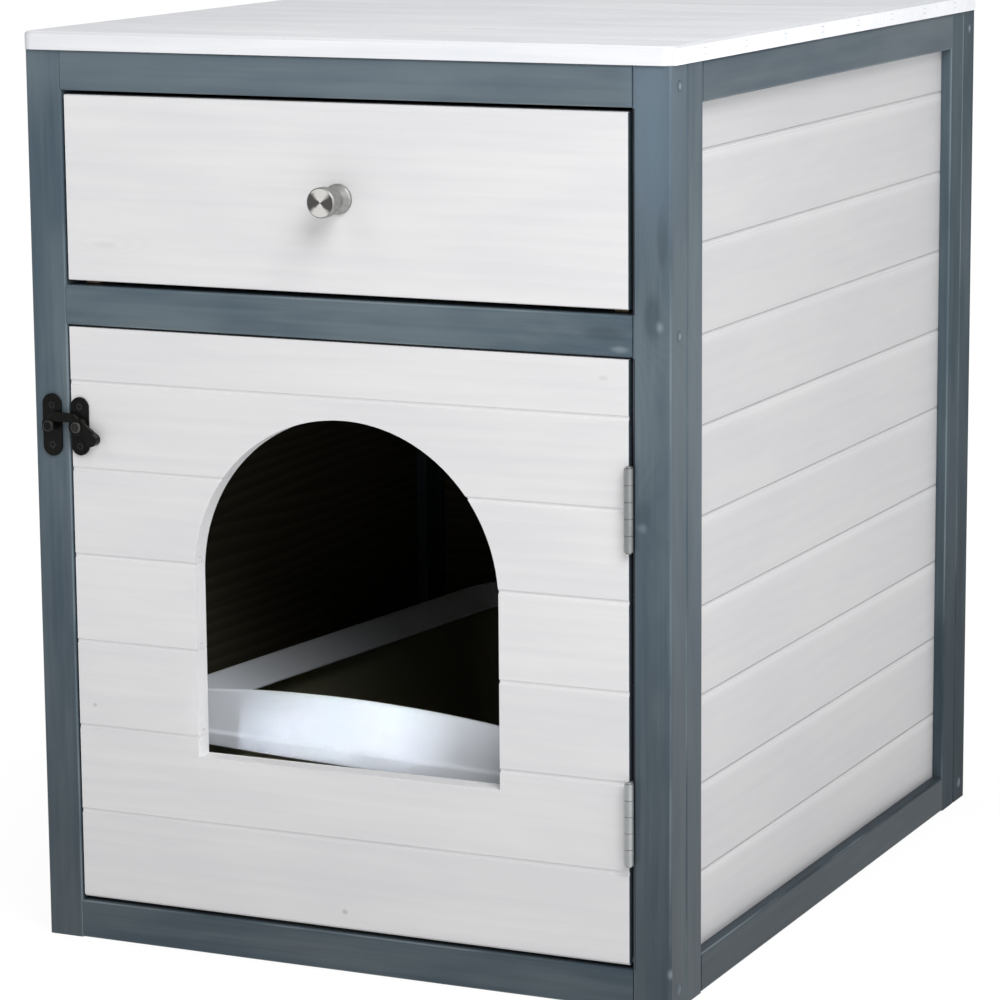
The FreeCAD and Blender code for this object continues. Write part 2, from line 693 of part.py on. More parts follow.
def drawer():
    groove_low = f"({DRAWER_LOW} + Sizes.drawer_bottom_lift)"
    groove_high = f"({groove_low} + Sizes.drawer_bottom_thickness + Sizes.panel_play)"
    deep = "Sizes.drawer_groove_depth"
    face = f"({FRONT} + Sizes.drawer_recess)"
    rear = DRAWER_FRONT_REAR
    low = f"({MIDDLE_TOP} + Sizes.drawer_bottom_gap)"
    high = f"({TOP_RAIL} - Sizes.drawer_top_gap)"
    half = f"({INNER} - Sizes.drawer_side_gap)"
    outline = [(face, low), (rear, low), (rear, groove_low), (f"{rear} - {deep}", groove_low),
               (f"{rear} - {deep}", groove_high), (rear, groove_high), (rear, high), (face, high)]
    front = prism("drawer_front", "X", outline, f"-{half}", f"2 * {half}", "Sizes.edge_round")
    drill(front, "-Y", "0", rear, KNOB_HEIGHT, "Sizes.knob_screw_radius + Sizes.screw_play",
          "Sizes.drawer_front_thickness", start=f"-{half}", along="X")
    keep(front, "drawer_front")
    for side, sign in (("left", -1), ("right", 1)):
        outer = f"{sign} * {DRAWER_OUTER}"
        inner = f"{sign} * ({DRAWER_OUTER} - Sizes.drawer_wall)"
        groove = f"{sign} * ({DRAWER_OUTER} - Sizes.drawer_wall + {deep})"
        outline = [(outer, DRAWER_LOW), (inner, DRAWER_LOW), (inner, groove_low), (groove, groove_low),
                   (groove, groove_high), (inner, groove_high), (inner, DRAWER_HIGH), (outer, DRAWER_HIGH)]
        name = f"drawer_{side}_side"
        keep(prism(name, "Y", outline, rear, f"{DRAWER_BACK} - {rear}"), name)
    inside = f"({DRAWER_OUTER} - Sizes.drawer_wall)"
    keep(box("drawer_back", f"2 * {inside}", "Sizes.drawer_wall", f"{DRAWER_HIGH} - {groove_high}",
             f"-{inside}", f"{DRAWER_BACK} - Sizes.drawer_wall", groove_high), "drawer_back")
    reach = f"({deep} - Sizes.panel_play)"
    keep(box("drawer_bottom", f"2 * ({inside} + {reach})", f"{DRAWER_BACK} - {rear} + {reach}",
             "Sizes.drawer_bottom_thickness", f"-({inside} + {reach})", f"{rear} - {reach}", groove_low),
         "drawer_bottom")


KNOB_HEIGHT = f"(({MIDDLE_TOP} + Sizes.drawer_bottom_gap + {TOP_RAIL} - Sizes.drawer_top_gap) / 2)"


def knob():
    """a turned knob: a cylindrical head, a neck that narrows towards the drawer and a flange"""
    face = f"({FRONT} + Sizes.drawer_recess)"
    body = document.addObject("PartDesign::Body", "drawer_knob")
    sketch = body.newObject("Sketcher::SketchObject", "Profile")
    sketch.AttachmentSupport = (origin_plane(body, "X"), [""])
    sketch.MapMode = "FlatFace"
    # u runs forward from the drawer's face as a negative y, v is the radius
    tip = "-Sizes.knob_length"
    edge = "Sizes.knob_edge_round"
    neck_y = "-Sizes.knob_flange_length - (Sizes.knob_radius - Sizes.knob_neck_radius) * 0.4"
    corners = [
        ("0", "0"),
        (tip, "0"),
        (tip, f"Sizes.knob_radius - {edge}"),
        (f"{tip} + {edge}", "Sizes.knob_radius"),
        (f"{tip} + Sizes.knob_head_length", "Sizes.knob_radius"),
        (neck_y, "Sizes.knob_neck_radius"),
        ("-Sizes.knob_flange_length", f"Sizes.knob_radius - {edge}"),
        (f"-Sizes.knob_flange_length + {edge}", "Sizes.knob_radius"),
        ("0", "Sizes.knob_radius"),
    ]
    draw_polygon(sketch, corners)
    turned = body.newObject("PartDesign::Revolution", "Turned")
    turned.Profile = sketch
    turned.ReferenceAxis = (sketch, ["H_Axis"])
    turned.Angle = 360
    place(body, 0, face, KNOB_HEIGHT)
    document.recompute()
    bore = body.newObject("PartDesign::SubtractiveCylinder", "Thread")
    bind(bore, Radius="Sizes.knob_screw_radius + Sizes.screw_play", Height="Sizes.knob_screw_depth")
    place(bore, 0, 0, 0, TURNS["-Y"])
    document.recompute()
    keep(body, "drawer_knob")
    shank = cylinder("Shank", "Sizes.knob_screw_radius",
                     "Sizes.drawer_front_thickness + Sizes.knob_screw_depth - 1", 0, DRAWER_FRONT_REAR,
                     KNOB_HEIGHT, "-Y")
    head = cylinder("Head", "2 * Sizes.knob_screw_radius", "Sizes.knob_screw_radius", 0, DRAWER_FRONT_REAR,
                    KNOB_HEIGHT, "+Y")
    keep(fuse("knob_screw", [shank, head]), "knob_screw")


# Door


def door():
    """seven boards on two battens, with an arched cat entrance cut through them"""
    width = f"({DOOR_RIGHT} - {DOOR_LEFT})"
    height = f"({DOOR_TOP} - {DOOR_BOTTOM})"
    blank = box("DoorBlank", width, "Sizes.door_thickness", height, DOOR_LEFT, DOOR_FACE, DOOR_BOTTOM)
    radius = "Sizes.opening_width / 2"
    sill = f"({DOOR_BOTTOM} + Sizes.opening_sill)"
    spring = f"({DOOR_TOP} - Sizes.opening_lintel - {radius})"
    through = "3 * Sizes.door_thickness"
    front = f"{DOOR_FACE} - Sizes.door_thickness"
    lower = box("Doorway", "Sizes.opening_width", through, f"{spring} - {sill}", f"-{radius}", front, sill)
    arch = cylinder("Arch", radius, through, 0, front, spring, "+Y")
    shaped = cut("DoorShape", blank, fuse("Entrance", [lower, arch]))
    document.recompute()
    for index in range(DOOR_BOARDS):
        # the highest and the lowest board are ripped, and those between share what is left
        base = f"({DOOR_TOP} - Sizes.door_first_board - {index} * {DOOR_COVER})"
        cover = DOOR_COVER
        if index == 0:
            cover = f"(Sizes.door_first_board + {DOOR_COVER})"
        elif index == DOOR_BOARDS - 1:
            base = DOOR_BOTTOM
            cover = "Sizes.door_last_board"
        single = board(cover, "Sizes.door_thickness", width)
        place(single, DOOR_LEFT, DOOR_FACE, base)
        node = f"door_board_{index + 1}"
        piece = common(f"Cut{node}", single, shaped)
        keep_with_pilots(piece, node, base, cover)
    battens = []
    for sign in (-1, 1):
        battens.append(box(
            "Batten", "Sizes.door_batten_width", "Sizes.door_batten_thickness",
            f"{height} - 2 * Sizes.door_batten_end_gap",
            f"{sign} * Sizes.door_batten_spread / 2 - Sizes.door_batten_width / 2", DOOR_REAR,
            f"{DOOR_BOTTOM} + Sizes.door_batten_end_gap"))
    group("door_battens", battens)


def keep_with_pilots(piece, node, base, cover):
    """cut the pilot holes of the hinge and latch screws that fall on this board"""
    mouths = [(DOOR_RIGHT, hinge_screw_y(), height, "-X") for height in hinge_screw_heights()]
    mouths += [(PIVOT_X, DOOR_FACE, height, "+Y") for height in latch_screw_heights()]
    low = value(f"{base} - Sizes.small_screw_radius")
    high = value(f"{base} + {cover} + Sizes.tongue_length + Sizes.small_screw_radius")
    tools = [
        cylinder("Pilot", PILOT_RADIUS, "Sizes.small_screw_length", *mouth)
        for mouth in mouths if low < value(mouth[2]) < high
    ]
    if tools:
        piece = cut(node, piece, fuse("Pilots", tools))
    keep(piece, node)


def door_stop():
    """a strip on the latch-side post that the door closes against"""
    keep(box("door_stop", "Sizes.door_stop_width", f"{FRAME_REAR} - {DOOR_REAR} - Sizes.panel_play",
             "Sizes.door_stop_height", f"-{INNER}", f"{DOOR_REAR} + Sizes.panel_play",
             f"{LATCH_Z} - Sizes.door_stop_height / 2"), "door_stop")


# Hinges


HINGE_X = f"({INNER} - Sizes.door_hinge_gap / 2)"
HINGE_Y = f"({FRONT} - Sizes.knuckle_radius - Sizes.knuckle_lift)"
HINGES = {
    "upper": f"({DOOR_TOP} - Sizes.hinge_inset)",
    "lower": f"({DOOR_BOTTOM} + Sizes.hinge_inset)",
}
KNUCKLES = 5


def hinge_screw_heights():
    return [f"{middle} + {sign} * Sizes.hinge_length * 0.3" for middle in HINGES.values() for sign in (-1, 1)]


def hinge_screw_y():
    return f"({FRONT} + Sizes.leaf_depth * 0.55)"


def hinge_leaf(node, middle, on_post):
    """a leaf with its share of the five knuckles"""
    pitch = f"(Sizes.hinge_length / {KNUCKLES})"
    bottom = f"({middle} - Sizes.hinge_length / 2)"
    thickness = "Sizes.leaf_thickness"
    low = f"{INNER} - {thickness}" if on_post else DOOR_RIGHT
    own = range(0, KNUCKLES, 2) if on_post else range(1, KNUCKLES, 2)
    plate = box("Plate", thickness, f"{FRONT} + Sizes.leaf_depth - {HINGE_Y}", "Sizes.hinge_length",
                low, HINGE_Y, bottom)
    barrels = []
    clearings = []
    for index in range(KNUCKLES):
        base = f"{bottom} + {index} * {pitch}"
        if index in own:
            barrels.append(cylinder("Knuckle", "Sizes.knuckle_radius", f"{pitch} - Sizes.knuckle_play",
                                    HINGE_X, HINGE_Y, f"{base} + Sizes.knuckle_play / 2"))
        else:
            clearings.append(cylinder("Clearing", "Sizes.knuckle_radius + Sizes.knuckle_play",
                                      f"{pitch} + Sizes.knuckle_play", HINGE_X, HINGE_Y,
                                      f"{base} - Sizes.knuckle_play / 2"))
    eye = cylinder("Eye", "Sizes.pin_radius + Sizes.pin_play", f"2 * Sizes.hinge_length", HINGE_X, HINGE_Y,
                   f"{middle} - Sizes.hinge_length")
    mouth, sign = (f"{INNER} - {thickness}", "+X") if on_post else (f"{DOOR_RIGHT} + {thickness}", "-X")
    sinks = []
    for side in (-1, 1):
        height = f"{middle} + {side} * Sizes.hinge_length * 0.3"
        sinks.append(screw_hole(mouth, hinge_screw_y(), height, sign, thickness))
    leaf = cut("Leaf", fuse("LeafBlank", [plate] + barrels), fuse("Clearances", clearings + [eye] + sinks))
    keep(leaf, node)


def hinges():
    pins = []
    post_screws = []
    door_screws = []
    for level, middle in HINGES.items():
        hinge_leaf(f"{level}_hinge_post_leaf", middle, True)
        hinge_leaf(f"{level}_hinge_door_leaf", middle, False)
        half = "Sizes.hinge_length / 2"
        head = "Sizes.pin_head_length"
        pins.append(fuse("Pin", [
            cylinder("Rod", "Sizes.pin_radius", f"2 * ({half})", HINGE_X, HINGE_Y, f"{middle} - {half}"),
            cylinder("Foot", "Sizes.pin_head_radius", head, HINGE_X, HINGE_Y, f"{middle} - {half} - {head}"),
            cylinder("Head", "Sizes.pin_head_radius", head, HINGE_X, HINGE_Y, f"{middle} + {half}"),
        ]))
        for side in (-1, 1):
            height = f"{middle} + {side} * Sizes.hinge_length * 0.3"
            leaf = "Sizes.leaf_thickness"
            post_screws.append(small_screw("+X", f"{INNER} - {leaf}", hinge_screw_y(), height, leaf))
            door_screws.append(small_screw("-X", f"{DOOR_RIGHT} + {leaf}", hinge_screw_y(), height, leaf))
    group("hinge_pins", pins)
    group("hinge_post_screws", post_screws)
    group("hinge_door_screws", door_screws)


PILOT_RADIUS = "(Sizes.small_screw_radius + Sizes.screw_play)"


def head_radius(plate):
    """the head of a small screw sinks into the plate it holds, but not through it"""
    return f"(Sizes.small_screw_radius + 0.8 * {plate})"


def small_screw(axis, x, y, z, plate):
    return screw(axis, x, y, z, "Sizes.small_screw_radius", head_radius(plate), "Sizes.small_screw_length")


def screw_hole(x, y, z, axis, plate):
    """a countersunk hole through a plate, from the face that the screw's head is flush with"""
    play = "Sizes.screw_play"
    return fuse("ScrewHole", [
        cylinder("Through", PILOT_RADIUS, f"2 * {plate}", x, y, z, axis),
        cone("Sink", f"{head_radius(plate)} + {play}", PILOT_RADIUS, f"0.8 * {plate}", x, y, z, axis),
    ])


# Latch


KEEPER_X = f"(-{HALF} + (Sizes.timber + Sizes.plate_thickness) / 2)"
PIVOT_X = f"({DOOR_LEFT} + Sizes.plate_inset)"
PLATE_FACE = f"({DOOR_FACE} - Sizes.plate_thickness)"
LEVER_BACK = f"({PLATE_FACE} - Sizes.boss_height - Sizes.lever_play)"
LEVER_FRONT = f"({LEVER_BACK} - Sizes.lever_thickness)"


def lobed_plate(x, face, width, height):
    """a flat plate with rounded ends, standing proud of a face"""
    thick = "Sizes.plate_thickness"
    end = f"({width} / 2)"
    core = box("Core", f"{width}", thick, f"{height} - {width}", f"{x} - {end}", f"{face} - {thick}",
               f"{LATCH_Z} - ({height} - {width}) / 2")
    ends = [
        cylinder("End", end, thick, x, face, f"{LATCH_Z} + {sign} * ({height} - {width}) / 2", "-Y")
        for sign in (-1, 1)
    ]
    return [core] + ends


def latch_screw_holes(x, face):
    thick = "Sizes.plate_thickness"
    return [screw_hole(x, f"{face} - {thick}", height, "+Y", thick) for height in latch_screw_heights()]


def latch_screw_heights():
    return [f"{LATCH_Z} + {sign} * Sizes.latch_screw_spread / 2" for sign in (-1, 1)]


def domed_head(radius, height, x, y):
    """a low round head, facing the front"""
    body = document.addObject("PartDesign::Body", "Head")
    disc = body.newObject("PartDesign::AdditiveCylinder", "Disc")
    bind(disc, Radius=radius, Height=height)
    place(body, x, y, LATCH_Z, TURNS["-Y"])
    document.recompute()
    high = disc.Shape.BoundBox.ZMax
    edge = next(
        f"Edge{index}" for index, item in enumerate(disc.Shape.Edges, start=1)
        if item.BoundBox.ZMin > high - 1e-4
    )
    dome = body.newObject("PartDesign::Fillet", "Dome")
    dome.Base = (disc, [edge])
    bind(dome, Radius=f"{height} * 0.85")
    document.recompute()
    return body


def latch():
    thick = "Sizes.plate_thickness"
    # keeper on the post, with a headed stud that the lever's claw drops over
    neck_end = f"({LEVER_FRONT} - Sizes.lever_play)"
    neck = cylinder("StudNeck", "Sizes.stud_radius", f"{FRONT} - {neck_end}", KEEPER_X, FRONT, LATCH_Z, "-Y")
    head = domed_head("Sizes.stud_head_radius", "Sizes.stud_head_height", KEEPER_X, neck_end)
    plate = lobed_plate(KEEPER_X, FRONT, "Sizes.keeper_width", "Sizes.keeper_height")
    keep(cut("latch_keeper", fuse("KeeperBlank", plate + [neck, head]),
             fuse("KeeperHoles", latch_screw_holes(KEEPER_X, FRONT))), "latch_keeper")
    # plate on the door, with a boss that the lever turns against
    plate = lobed_plate(PIVOT_X, DOOR_FACE, "Sizes.plate_width", "Sizes.plate_height")
    boss = cylinder("Boss", "Sizes.lever_boss_radius", "Sizes.boss_height", PIVOT_X, PLATE_FACE, LATCH_Z,
                    "-Y")
    rivet_hole = cylinder("RivetHole", "Sizes.rivet_radius + Sizes.pin_play",
                          f"2 * ({thick} + Sizes.boss_height)", PIVOT_X, DOOR_FACE, LATCH_Z, "-Y")
    keep(cut("latch_plate", fuse("PlateBlank", plate + [boss]),
             fuse("PlateHoles", latch_screw_holes(PIVOT_X, DOOR_FACE) + [rivet_hole])), "latch_plate")
    lever()
    head_back = f"({LEVER_FRONT} - Sizes.lever_play)"
    shank = cylinder("RivetShank", "Sizes.rivet_radius", f"{DOOR_FACE} - {head_back}", PIVOT_X, DOOR_FACE,
                     LATCH_Z, "-Y")
    head = domed_head("Sizes.rivet_head_radius", "Sizes.rivet_head_height", PIVOT_X, head_back)
    keep(fuse("latch_rivet", [shank, head]), "latch_rivet")
    plates = (("latch_keeper_screws", KEEPER_X, FRONT), ("latch_plate_screws", PIVOT_X, DOOR_FACE))
    for node, x, face in plates:
        group(node, [
            small_screw("+Y", x, f"{face} - {thick}", height, thick) for height in latch_screw_heights()
        ])


def lever():
    """a lever on its rivet: an arm that arches over the stud and ends in a claw, and a thumb tab"""
    thick = "Sizes.lever_thickness"
    claw_inner = f"({KEEPER_X} - Sizes.stud_radius - Sizes.lever_play)"
    claw_outer = f"({claw_inner} - Sizes.claw_width)"
    claw_tip = f"({LATCH_Z} - Sizes.claw_drop)"
    under = f"({LATCH_Z} + Sizes.stud_radius + 4 * Sizes.lever_play)"
    crest = f"({LATCH_Z} + Sizes.lever_rise)"
    thumb_x = f"({PIVOT_X} + Sizes.thumb_reach)"
    thumb_z = f"({LATCH_Z} - Sizes.thumb_drop)"
    shoulder = (claw_outer, f"{LATCH_Z} + Sizes.lever_rise * 0.35")
    brow = (f"{KEEPER_X} + Sizes.stud_radius", crest)
    crown = (f"{PIVOT_X} - Sizes.lever_boss_radius / 2", f"{crest} - Sizes.lever_rise * 0.1")
    inner = (claw_inner, under)
    armpit = (f"{PIVOT_X} - Sizes.lever_boss_radius", under)
    outline = [
        (claw_inner, claw_tip),
        (claw_outer, claw_tip),
        shoulder,
        brow,
        crown,
        (f"{thumb_x} + Sizes.thumb_radius * 0.7", f"{thumb_z} + Sizes.thumb_radius * 0.7"),
        (f"{thumb_x} - Sizes.thumb_radius * 0.7", f"{thumb_z} - Sizes.thumb_radius * 0.7"),
        (PIVOT_X, f"{LATCH_Z} - Sizes.lever_waist / 2"),
        armpit,
        inner,
    ]
    arm = prism("Arm", "Y", outline, LEVER_FRONT, thick)
    soften(arm, [shoulder, brow, crown], "Sizes.lever_round")
    tip = cylinder("ClawTip", "Sizes.claw_width / 2", thick, f"{claw_inner} - Sizes.claw_width / 2",
                   LEVER_BACK, claw_tip, "-Y")
    boss = cylinder("LeverBoss", "Sizes.lever_boss_radius", thick, PIVOT_X, LEVER_BACK, LATCH_Z, "-Y")
    thumb = cylinder("Thumb", "Sizes.thumb_radius", f"{thick} + Sizes.thumb_rise", thumb_x, LEVER_BACK,
                     thumb_z, "-Y")
    eye = cylinder("LeverEye", "Sizes.rivet_radius + Sizes.pin_play", f"3 * {thick}", PIVOT_X,
                   f"{LEVER_BACK} + {thick}", LATCH_Z, "-Y")
    keep(cut("latch_lever", fuse("LeverBlank", [arm, boss, tip, thumb]), eye), "latch_lever")


def soften(body, spots, radius):
    """fillet the edges along Y that stand at the given x, z spots"""
    base = body.Tip
    wanted = [(value(x), value(z)) for x, z in spots]
    names = []
    for index, edge in enumerate(base.Shape.Edges, start=1):
        middle = edge.CenterOfMass
        if edge.BoundBox.XLength < 1e-4 and edge.BoundBox.ZLength < 1e-4:
            if any(math.hypot(middle.x - x, middle.z - z) < 1e-3 for x, z in wanted):
                names.append(f"Edge{index}")
    fillet = body.newObject("PartDesign::Fillet", "Softened")
    fillet.Base = (base, names)
    bind(fillet, Radius=radius)
    document.recompute()


# Litter tray


TRAY_BOTTOM = "(Sizes.floor_height + Sizes.tray_lift)"
TRAY_FRONT = f"({FRONT} + Sizes.tray_front_gap)"
TRAY_BACK = f"({BACK_FRAME} - Sizes.tray_rear_gap)"
TRAY_MIDDLE = f"(({TRAY_FRONT} + {TRAY_BACK}) / 2)"
TRAY_HALF = f"({INNER} - Sizes.tray_side_gap)"
# the rim's hollow ridge sits over the pan's edge: how far in from the lip, and how high above it
RIDGE_INSET = "(Sizes.rim_lean + 1.4 * Sizes.rim_wall)"
RIDGE_HEIGHT = "(Sizes.rim_height - 1.2 * Sizes.rim_wall)"
RIM_FALL = "((Sizes.rim_slope_drop - 0.2 * Sizes.rim_wall) / (Sizes.rim_slope_width - 1.4 * Sizes.rim_wall))"
PAN_INSET = f"({RIDGE_INSET} + Sizes.rim_play)"
PAN_HEIGHT = (
    f"(Sizes.rim_lip_height + {RIDGE_HEIGHT} - Sizes.rim_play"
    f" - (Sizes.rim_play + Sizes.pan_wall) * {RIM_FALL})"
)


def draw_rounded_loop(sketch, half_width, low, high, radius):
    """a rounded rectangle that starts and ends at the middle of its left side"""
    left = f"-({half_width})"
    right = f"({half_width})"
    radius = f"({radius})"
    middle = f"(({low}) + ({high})) / 2"
    stops = [
        (left, middle), (left, f"{low} + {radius}"), (f"{left} + {radius}", low),
        (f"{right} - {radius}", low), (right, f"{low} + {radius}"), (right, f"{high} - {radius}"),
        (f"{right} - {radius}", high), (f"{left} + {radius}", high), (left, f"{high} - {radius}"),
    ]
    spots = [FreeCAD.Vector(value(u), value(v), 0) for u, v in stops]
    count = len(spots)
    bulge = value(radius) * (1 - math.sqrt(0.5))
    corners = {1: (-1, -1), 3: (1, -1), 5: (1, 1), 7: (-1, 1)}
    for index in range(count):
        start = spots[index]
        end = spots[(index + 1) % count]
        if index in corners:
            sign_u, sign_v = corners[index]
            corner_u = value(right) if sign_u > 0 else value(left)
            corner_v = value(high) if sign_v > 0 else value(low)
            through = FreeCAD.Vector(corner_u - sign_u * bulge, corner_v - sign_v * bulge, 0)
            sketch.addGeometry(Part.Arc(start, through, end), False)
        else:
            sketch.addGeometry(Part.LineSegment(start, end), False)
    ends = []
    for index in range(count):
        geometry = sketch.Geometry[index]
        head = geometry.StartPoint if (geometry.StartPoint - spots[index]).Length < 1e-6 else None
        ends.append((1, 2) if head is not None else (2, 1))
    for index in range(count):
        following = (index + 1) % count
        sketch.addConstraint(
            Sketcher.Constraint("Coincident", index, ends[index][1], following, ends[following][0])
        )
    for index, stop in enumerate(stops):
        pin_point(sketch, index, ends[index][0], stop)
    for index in corners:
        constraint = sketch.addConstraint(Sketcher.Constraint("Radius", index, value(radius)))
        sketch.setExpression(f"Constraints[{constraint}]", str(radius))
    return sketch


def stand_tray(body, level):
    """stand a part of the tray on its level, turned about the tray's middle as it is left in the cabinet"""
    turn = FreeCAD.Rotation(FreeCAD.Vector(0, 0, -1), value("Sizes.tray_turn"))
    place(body, f"-{TRAY_MIDDLE} * sin(Sizes.tray_turn)", f"{TRAY_MIDDLE} * (1 - cos(Sizes.tray_turn))",
          level, turn)
    bind(body, Placement__Rotation__Angle="Sizes.tray_turn * 1 deg")


def tapered_block(name, level, inset, rounding):
    """a block with rounded corners that widens upwards, with its bottom edge rounded"""
    body = document.addObject("PartDesign::Body", name)
    sketch = add_sketch(body, "Z", "Section")
    low_inset = f"({inset} + Sizes.pan_draft)"
    draw_rounded_loop(sketch, f"{TRAY_HALF} - {low_inset}", f"{TRAY_FRONT} + {low_inset}",
                      f"{TRAY_BACK} - {low_inset}", f"Sizes.tray_corner - {low_inset}")
    pad = body.newObject("PartDesign::Pad", "Walls")
    pad.Profile = sketch
    bind(pad, Length=PAN_HEIGHT, TaperAngle=f"atan(Sizes.pan_draft / {PAN_HEIGHT})")
    document.recompute()
    low = pad.Shape.BoundBox.ZMin
    names = [
        f"Edge{index}" for index, edge in enumerate(pad.Shape.Edges, start=1)
        if edge.BoundBox.ZMax < low + 1e-4
    ]
    fillet = body.newObject("PartDesign::Fillet", "Rounding")
    fillet.Base = (pad, names)
    bind(fillet, Radius=rounding)
    stand_tray(body, level)
    document.recompute()
    return body


def tray_pan():
    """a tapered pan with rounded corners and an even wall"""
    outer = tapered_block("PanOutside", TRAY_BOTTOM, PAN_INSET, "Sizes.pan_bottom_round")
    inner = tapered_block("PanInside", f"{TRAY_BOTTOM} + Sizes.pan_wall", f"({PAN_INSET} + Sizes.pan_wall)",
                          "Sizes.pan_bottom_round - Sizes.pan_wall")
    keep(cut("litter_tray_pan", outer, inner), "litter_tray_pan")
    document.recompute()


def tray_rim():
    """a rim that clips over the pan: a leaning skirt with a lip below and a slope to the inside"""
    body = document.addObject("PartDesign::Body", "litter_tray_rim")
    path = add_sketch(body, "Z", "Path")
    draw_rounded_loop(path, TRAY_HALF, TRAY_FRONT, TRAY_BACK, "Sizes.tray_corner")
    section = add_sketch(body, "Y", "Section", f"-({TRAY_MIDDLE})")
    edge = f"-{TRAY_HALF}"
    wall = "Sizes.rim_wall"
    step = "Sizes.rim_lip_step"
    rise = "Sizes.rim_lip_rise"
    lean = "Sizes.rim_lean"
    high = "Sizes.rim_height"
    slope = "Sizes.rim_slope_width"
    drop = "Sizes.rim_slope_drop"
    draw_polygon(section, [
        (edge, "0"),
        (edge, rise),
        (f"{edge} + {step}", f"{rise} + {step}"),
        (f"{edge} + {lean}", f"{high} - {wall} / 2"),
        (f"{edge} + {lean} + {wall} / 2", high),
        (f"{edge} + {lean} + {wall} * 1.5", high),
        (f"{edge} + {lean} + {slope}", f"{high} - {drop}"),
        (f"{edge} + {lean} + {slope}", f"{high} - {drop} - {wall}"),
        (f"{edge} + {RIDGE_INSET}", RIDGE_HEIGHT),
        (f"{edge} + {step} + {wall}", f"{rise} + {step} - {wall} / 2"),
        (f"{edge} + {wall}", f"{rise} - {wall} / 2"),
        (f"{edge} + {wall}", "0"),
    ])
    document.recompute()
    pipe = body.newObject("PartDesign::AdditivePipe", "Rim")
    pipe.Profile = section
    pipe.Spine = (path, [])
    pipe.Transition = "Transformed"
    stand_tray(body, f"{TRAY_BOTTOM} + Sizes.rim_lip_height")
    document.recompute()
    keep(body, "litter_tray_rim")


front_frame()
side_frame("left")
side_frame("right")
back_frame()
top()
inner_panels()
drawer_guides()
door_stop()
door()
hinges()
latch()
drawer()
knob()
frame_screws()
tray_pan()
tray_rim()
document.recompute()

faults = [
    f"{item.Label}: {item.State}" for item in document.Objects
    if "Invalid" in item.State or "Error" in item.State
]
for piece in pieces:
    if piece.Shape.isNull() or not piece.Shape.isValid() or not piece.Shape.Solids:
        faults.append(f"{piece.Label}: no valid solid")
if faults:
    raise RuntimeError("; ".join(faults))

os.makedirs("parts", exist_ok=True)
for piece in pieces:
    piece.Shape.exportStep(f"parts/{piece.Label}.step")
print(f"{len(pieces)} sub-parts written")
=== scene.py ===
import math

import bpy
from mathutils import Matrix, Vector


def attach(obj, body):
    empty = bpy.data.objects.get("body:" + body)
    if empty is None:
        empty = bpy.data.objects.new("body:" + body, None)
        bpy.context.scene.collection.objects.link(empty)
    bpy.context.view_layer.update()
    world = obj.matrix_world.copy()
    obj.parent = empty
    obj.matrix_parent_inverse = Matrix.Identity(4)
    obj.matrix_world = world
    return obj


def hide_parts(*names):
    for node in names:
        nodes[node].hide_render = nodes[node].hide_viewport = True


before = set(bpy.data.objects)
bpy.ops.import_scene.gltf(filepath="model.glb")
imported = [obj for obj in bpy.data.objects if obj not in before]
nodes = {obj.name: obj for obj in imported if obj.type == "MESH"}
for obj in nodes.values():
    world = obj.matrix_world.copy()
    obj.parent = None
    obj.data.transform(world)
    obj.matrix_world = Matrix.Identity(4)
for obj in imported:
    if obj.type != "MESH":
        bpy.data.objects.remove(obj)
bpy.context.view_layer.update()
print("frame loaded:", len(nodes), "nodes")


def extent(name, axis):
    # lowest and highest place of a node along one axis
    spots = [(nodes[name].matrix_world @ vertex.co)[axis] for vertex in nodes[name].data.vertices]
    return min(spots), max(spots)


class Wire:
    # a socket that takes part in sums like a number
    def __init__(self, shop, socket):
        self.shop = shop
        self.socket = socket

    def maths(self, operation, *others):
        return self.shop.node("ShaderNodeMath", {"operation": operation}, [self, *others])

    def __add__(self, other):
        return self.maths("ADD", other)

    def __sub__(self, other):
        return self.maths("SUBTRACT", other)

    def __mul__(self, other):
        return self.maths("MULTIPLY", other)

    def __truediv__(self, other):
        return self.maths("DIVIDE", other)

    def __radd__(self, other):
        return self.maths("ADD", other)

    def __rmul__(self, other):
        return self.maths("MULTIPLY", other)

    def __rsub__(self, other):
        return self.shop.node("ShaderNodeMath", {"operation": "SUBTRACT"}, [other, self])

    def __abs__(self):
        return self.maths("ABSOLUTE")


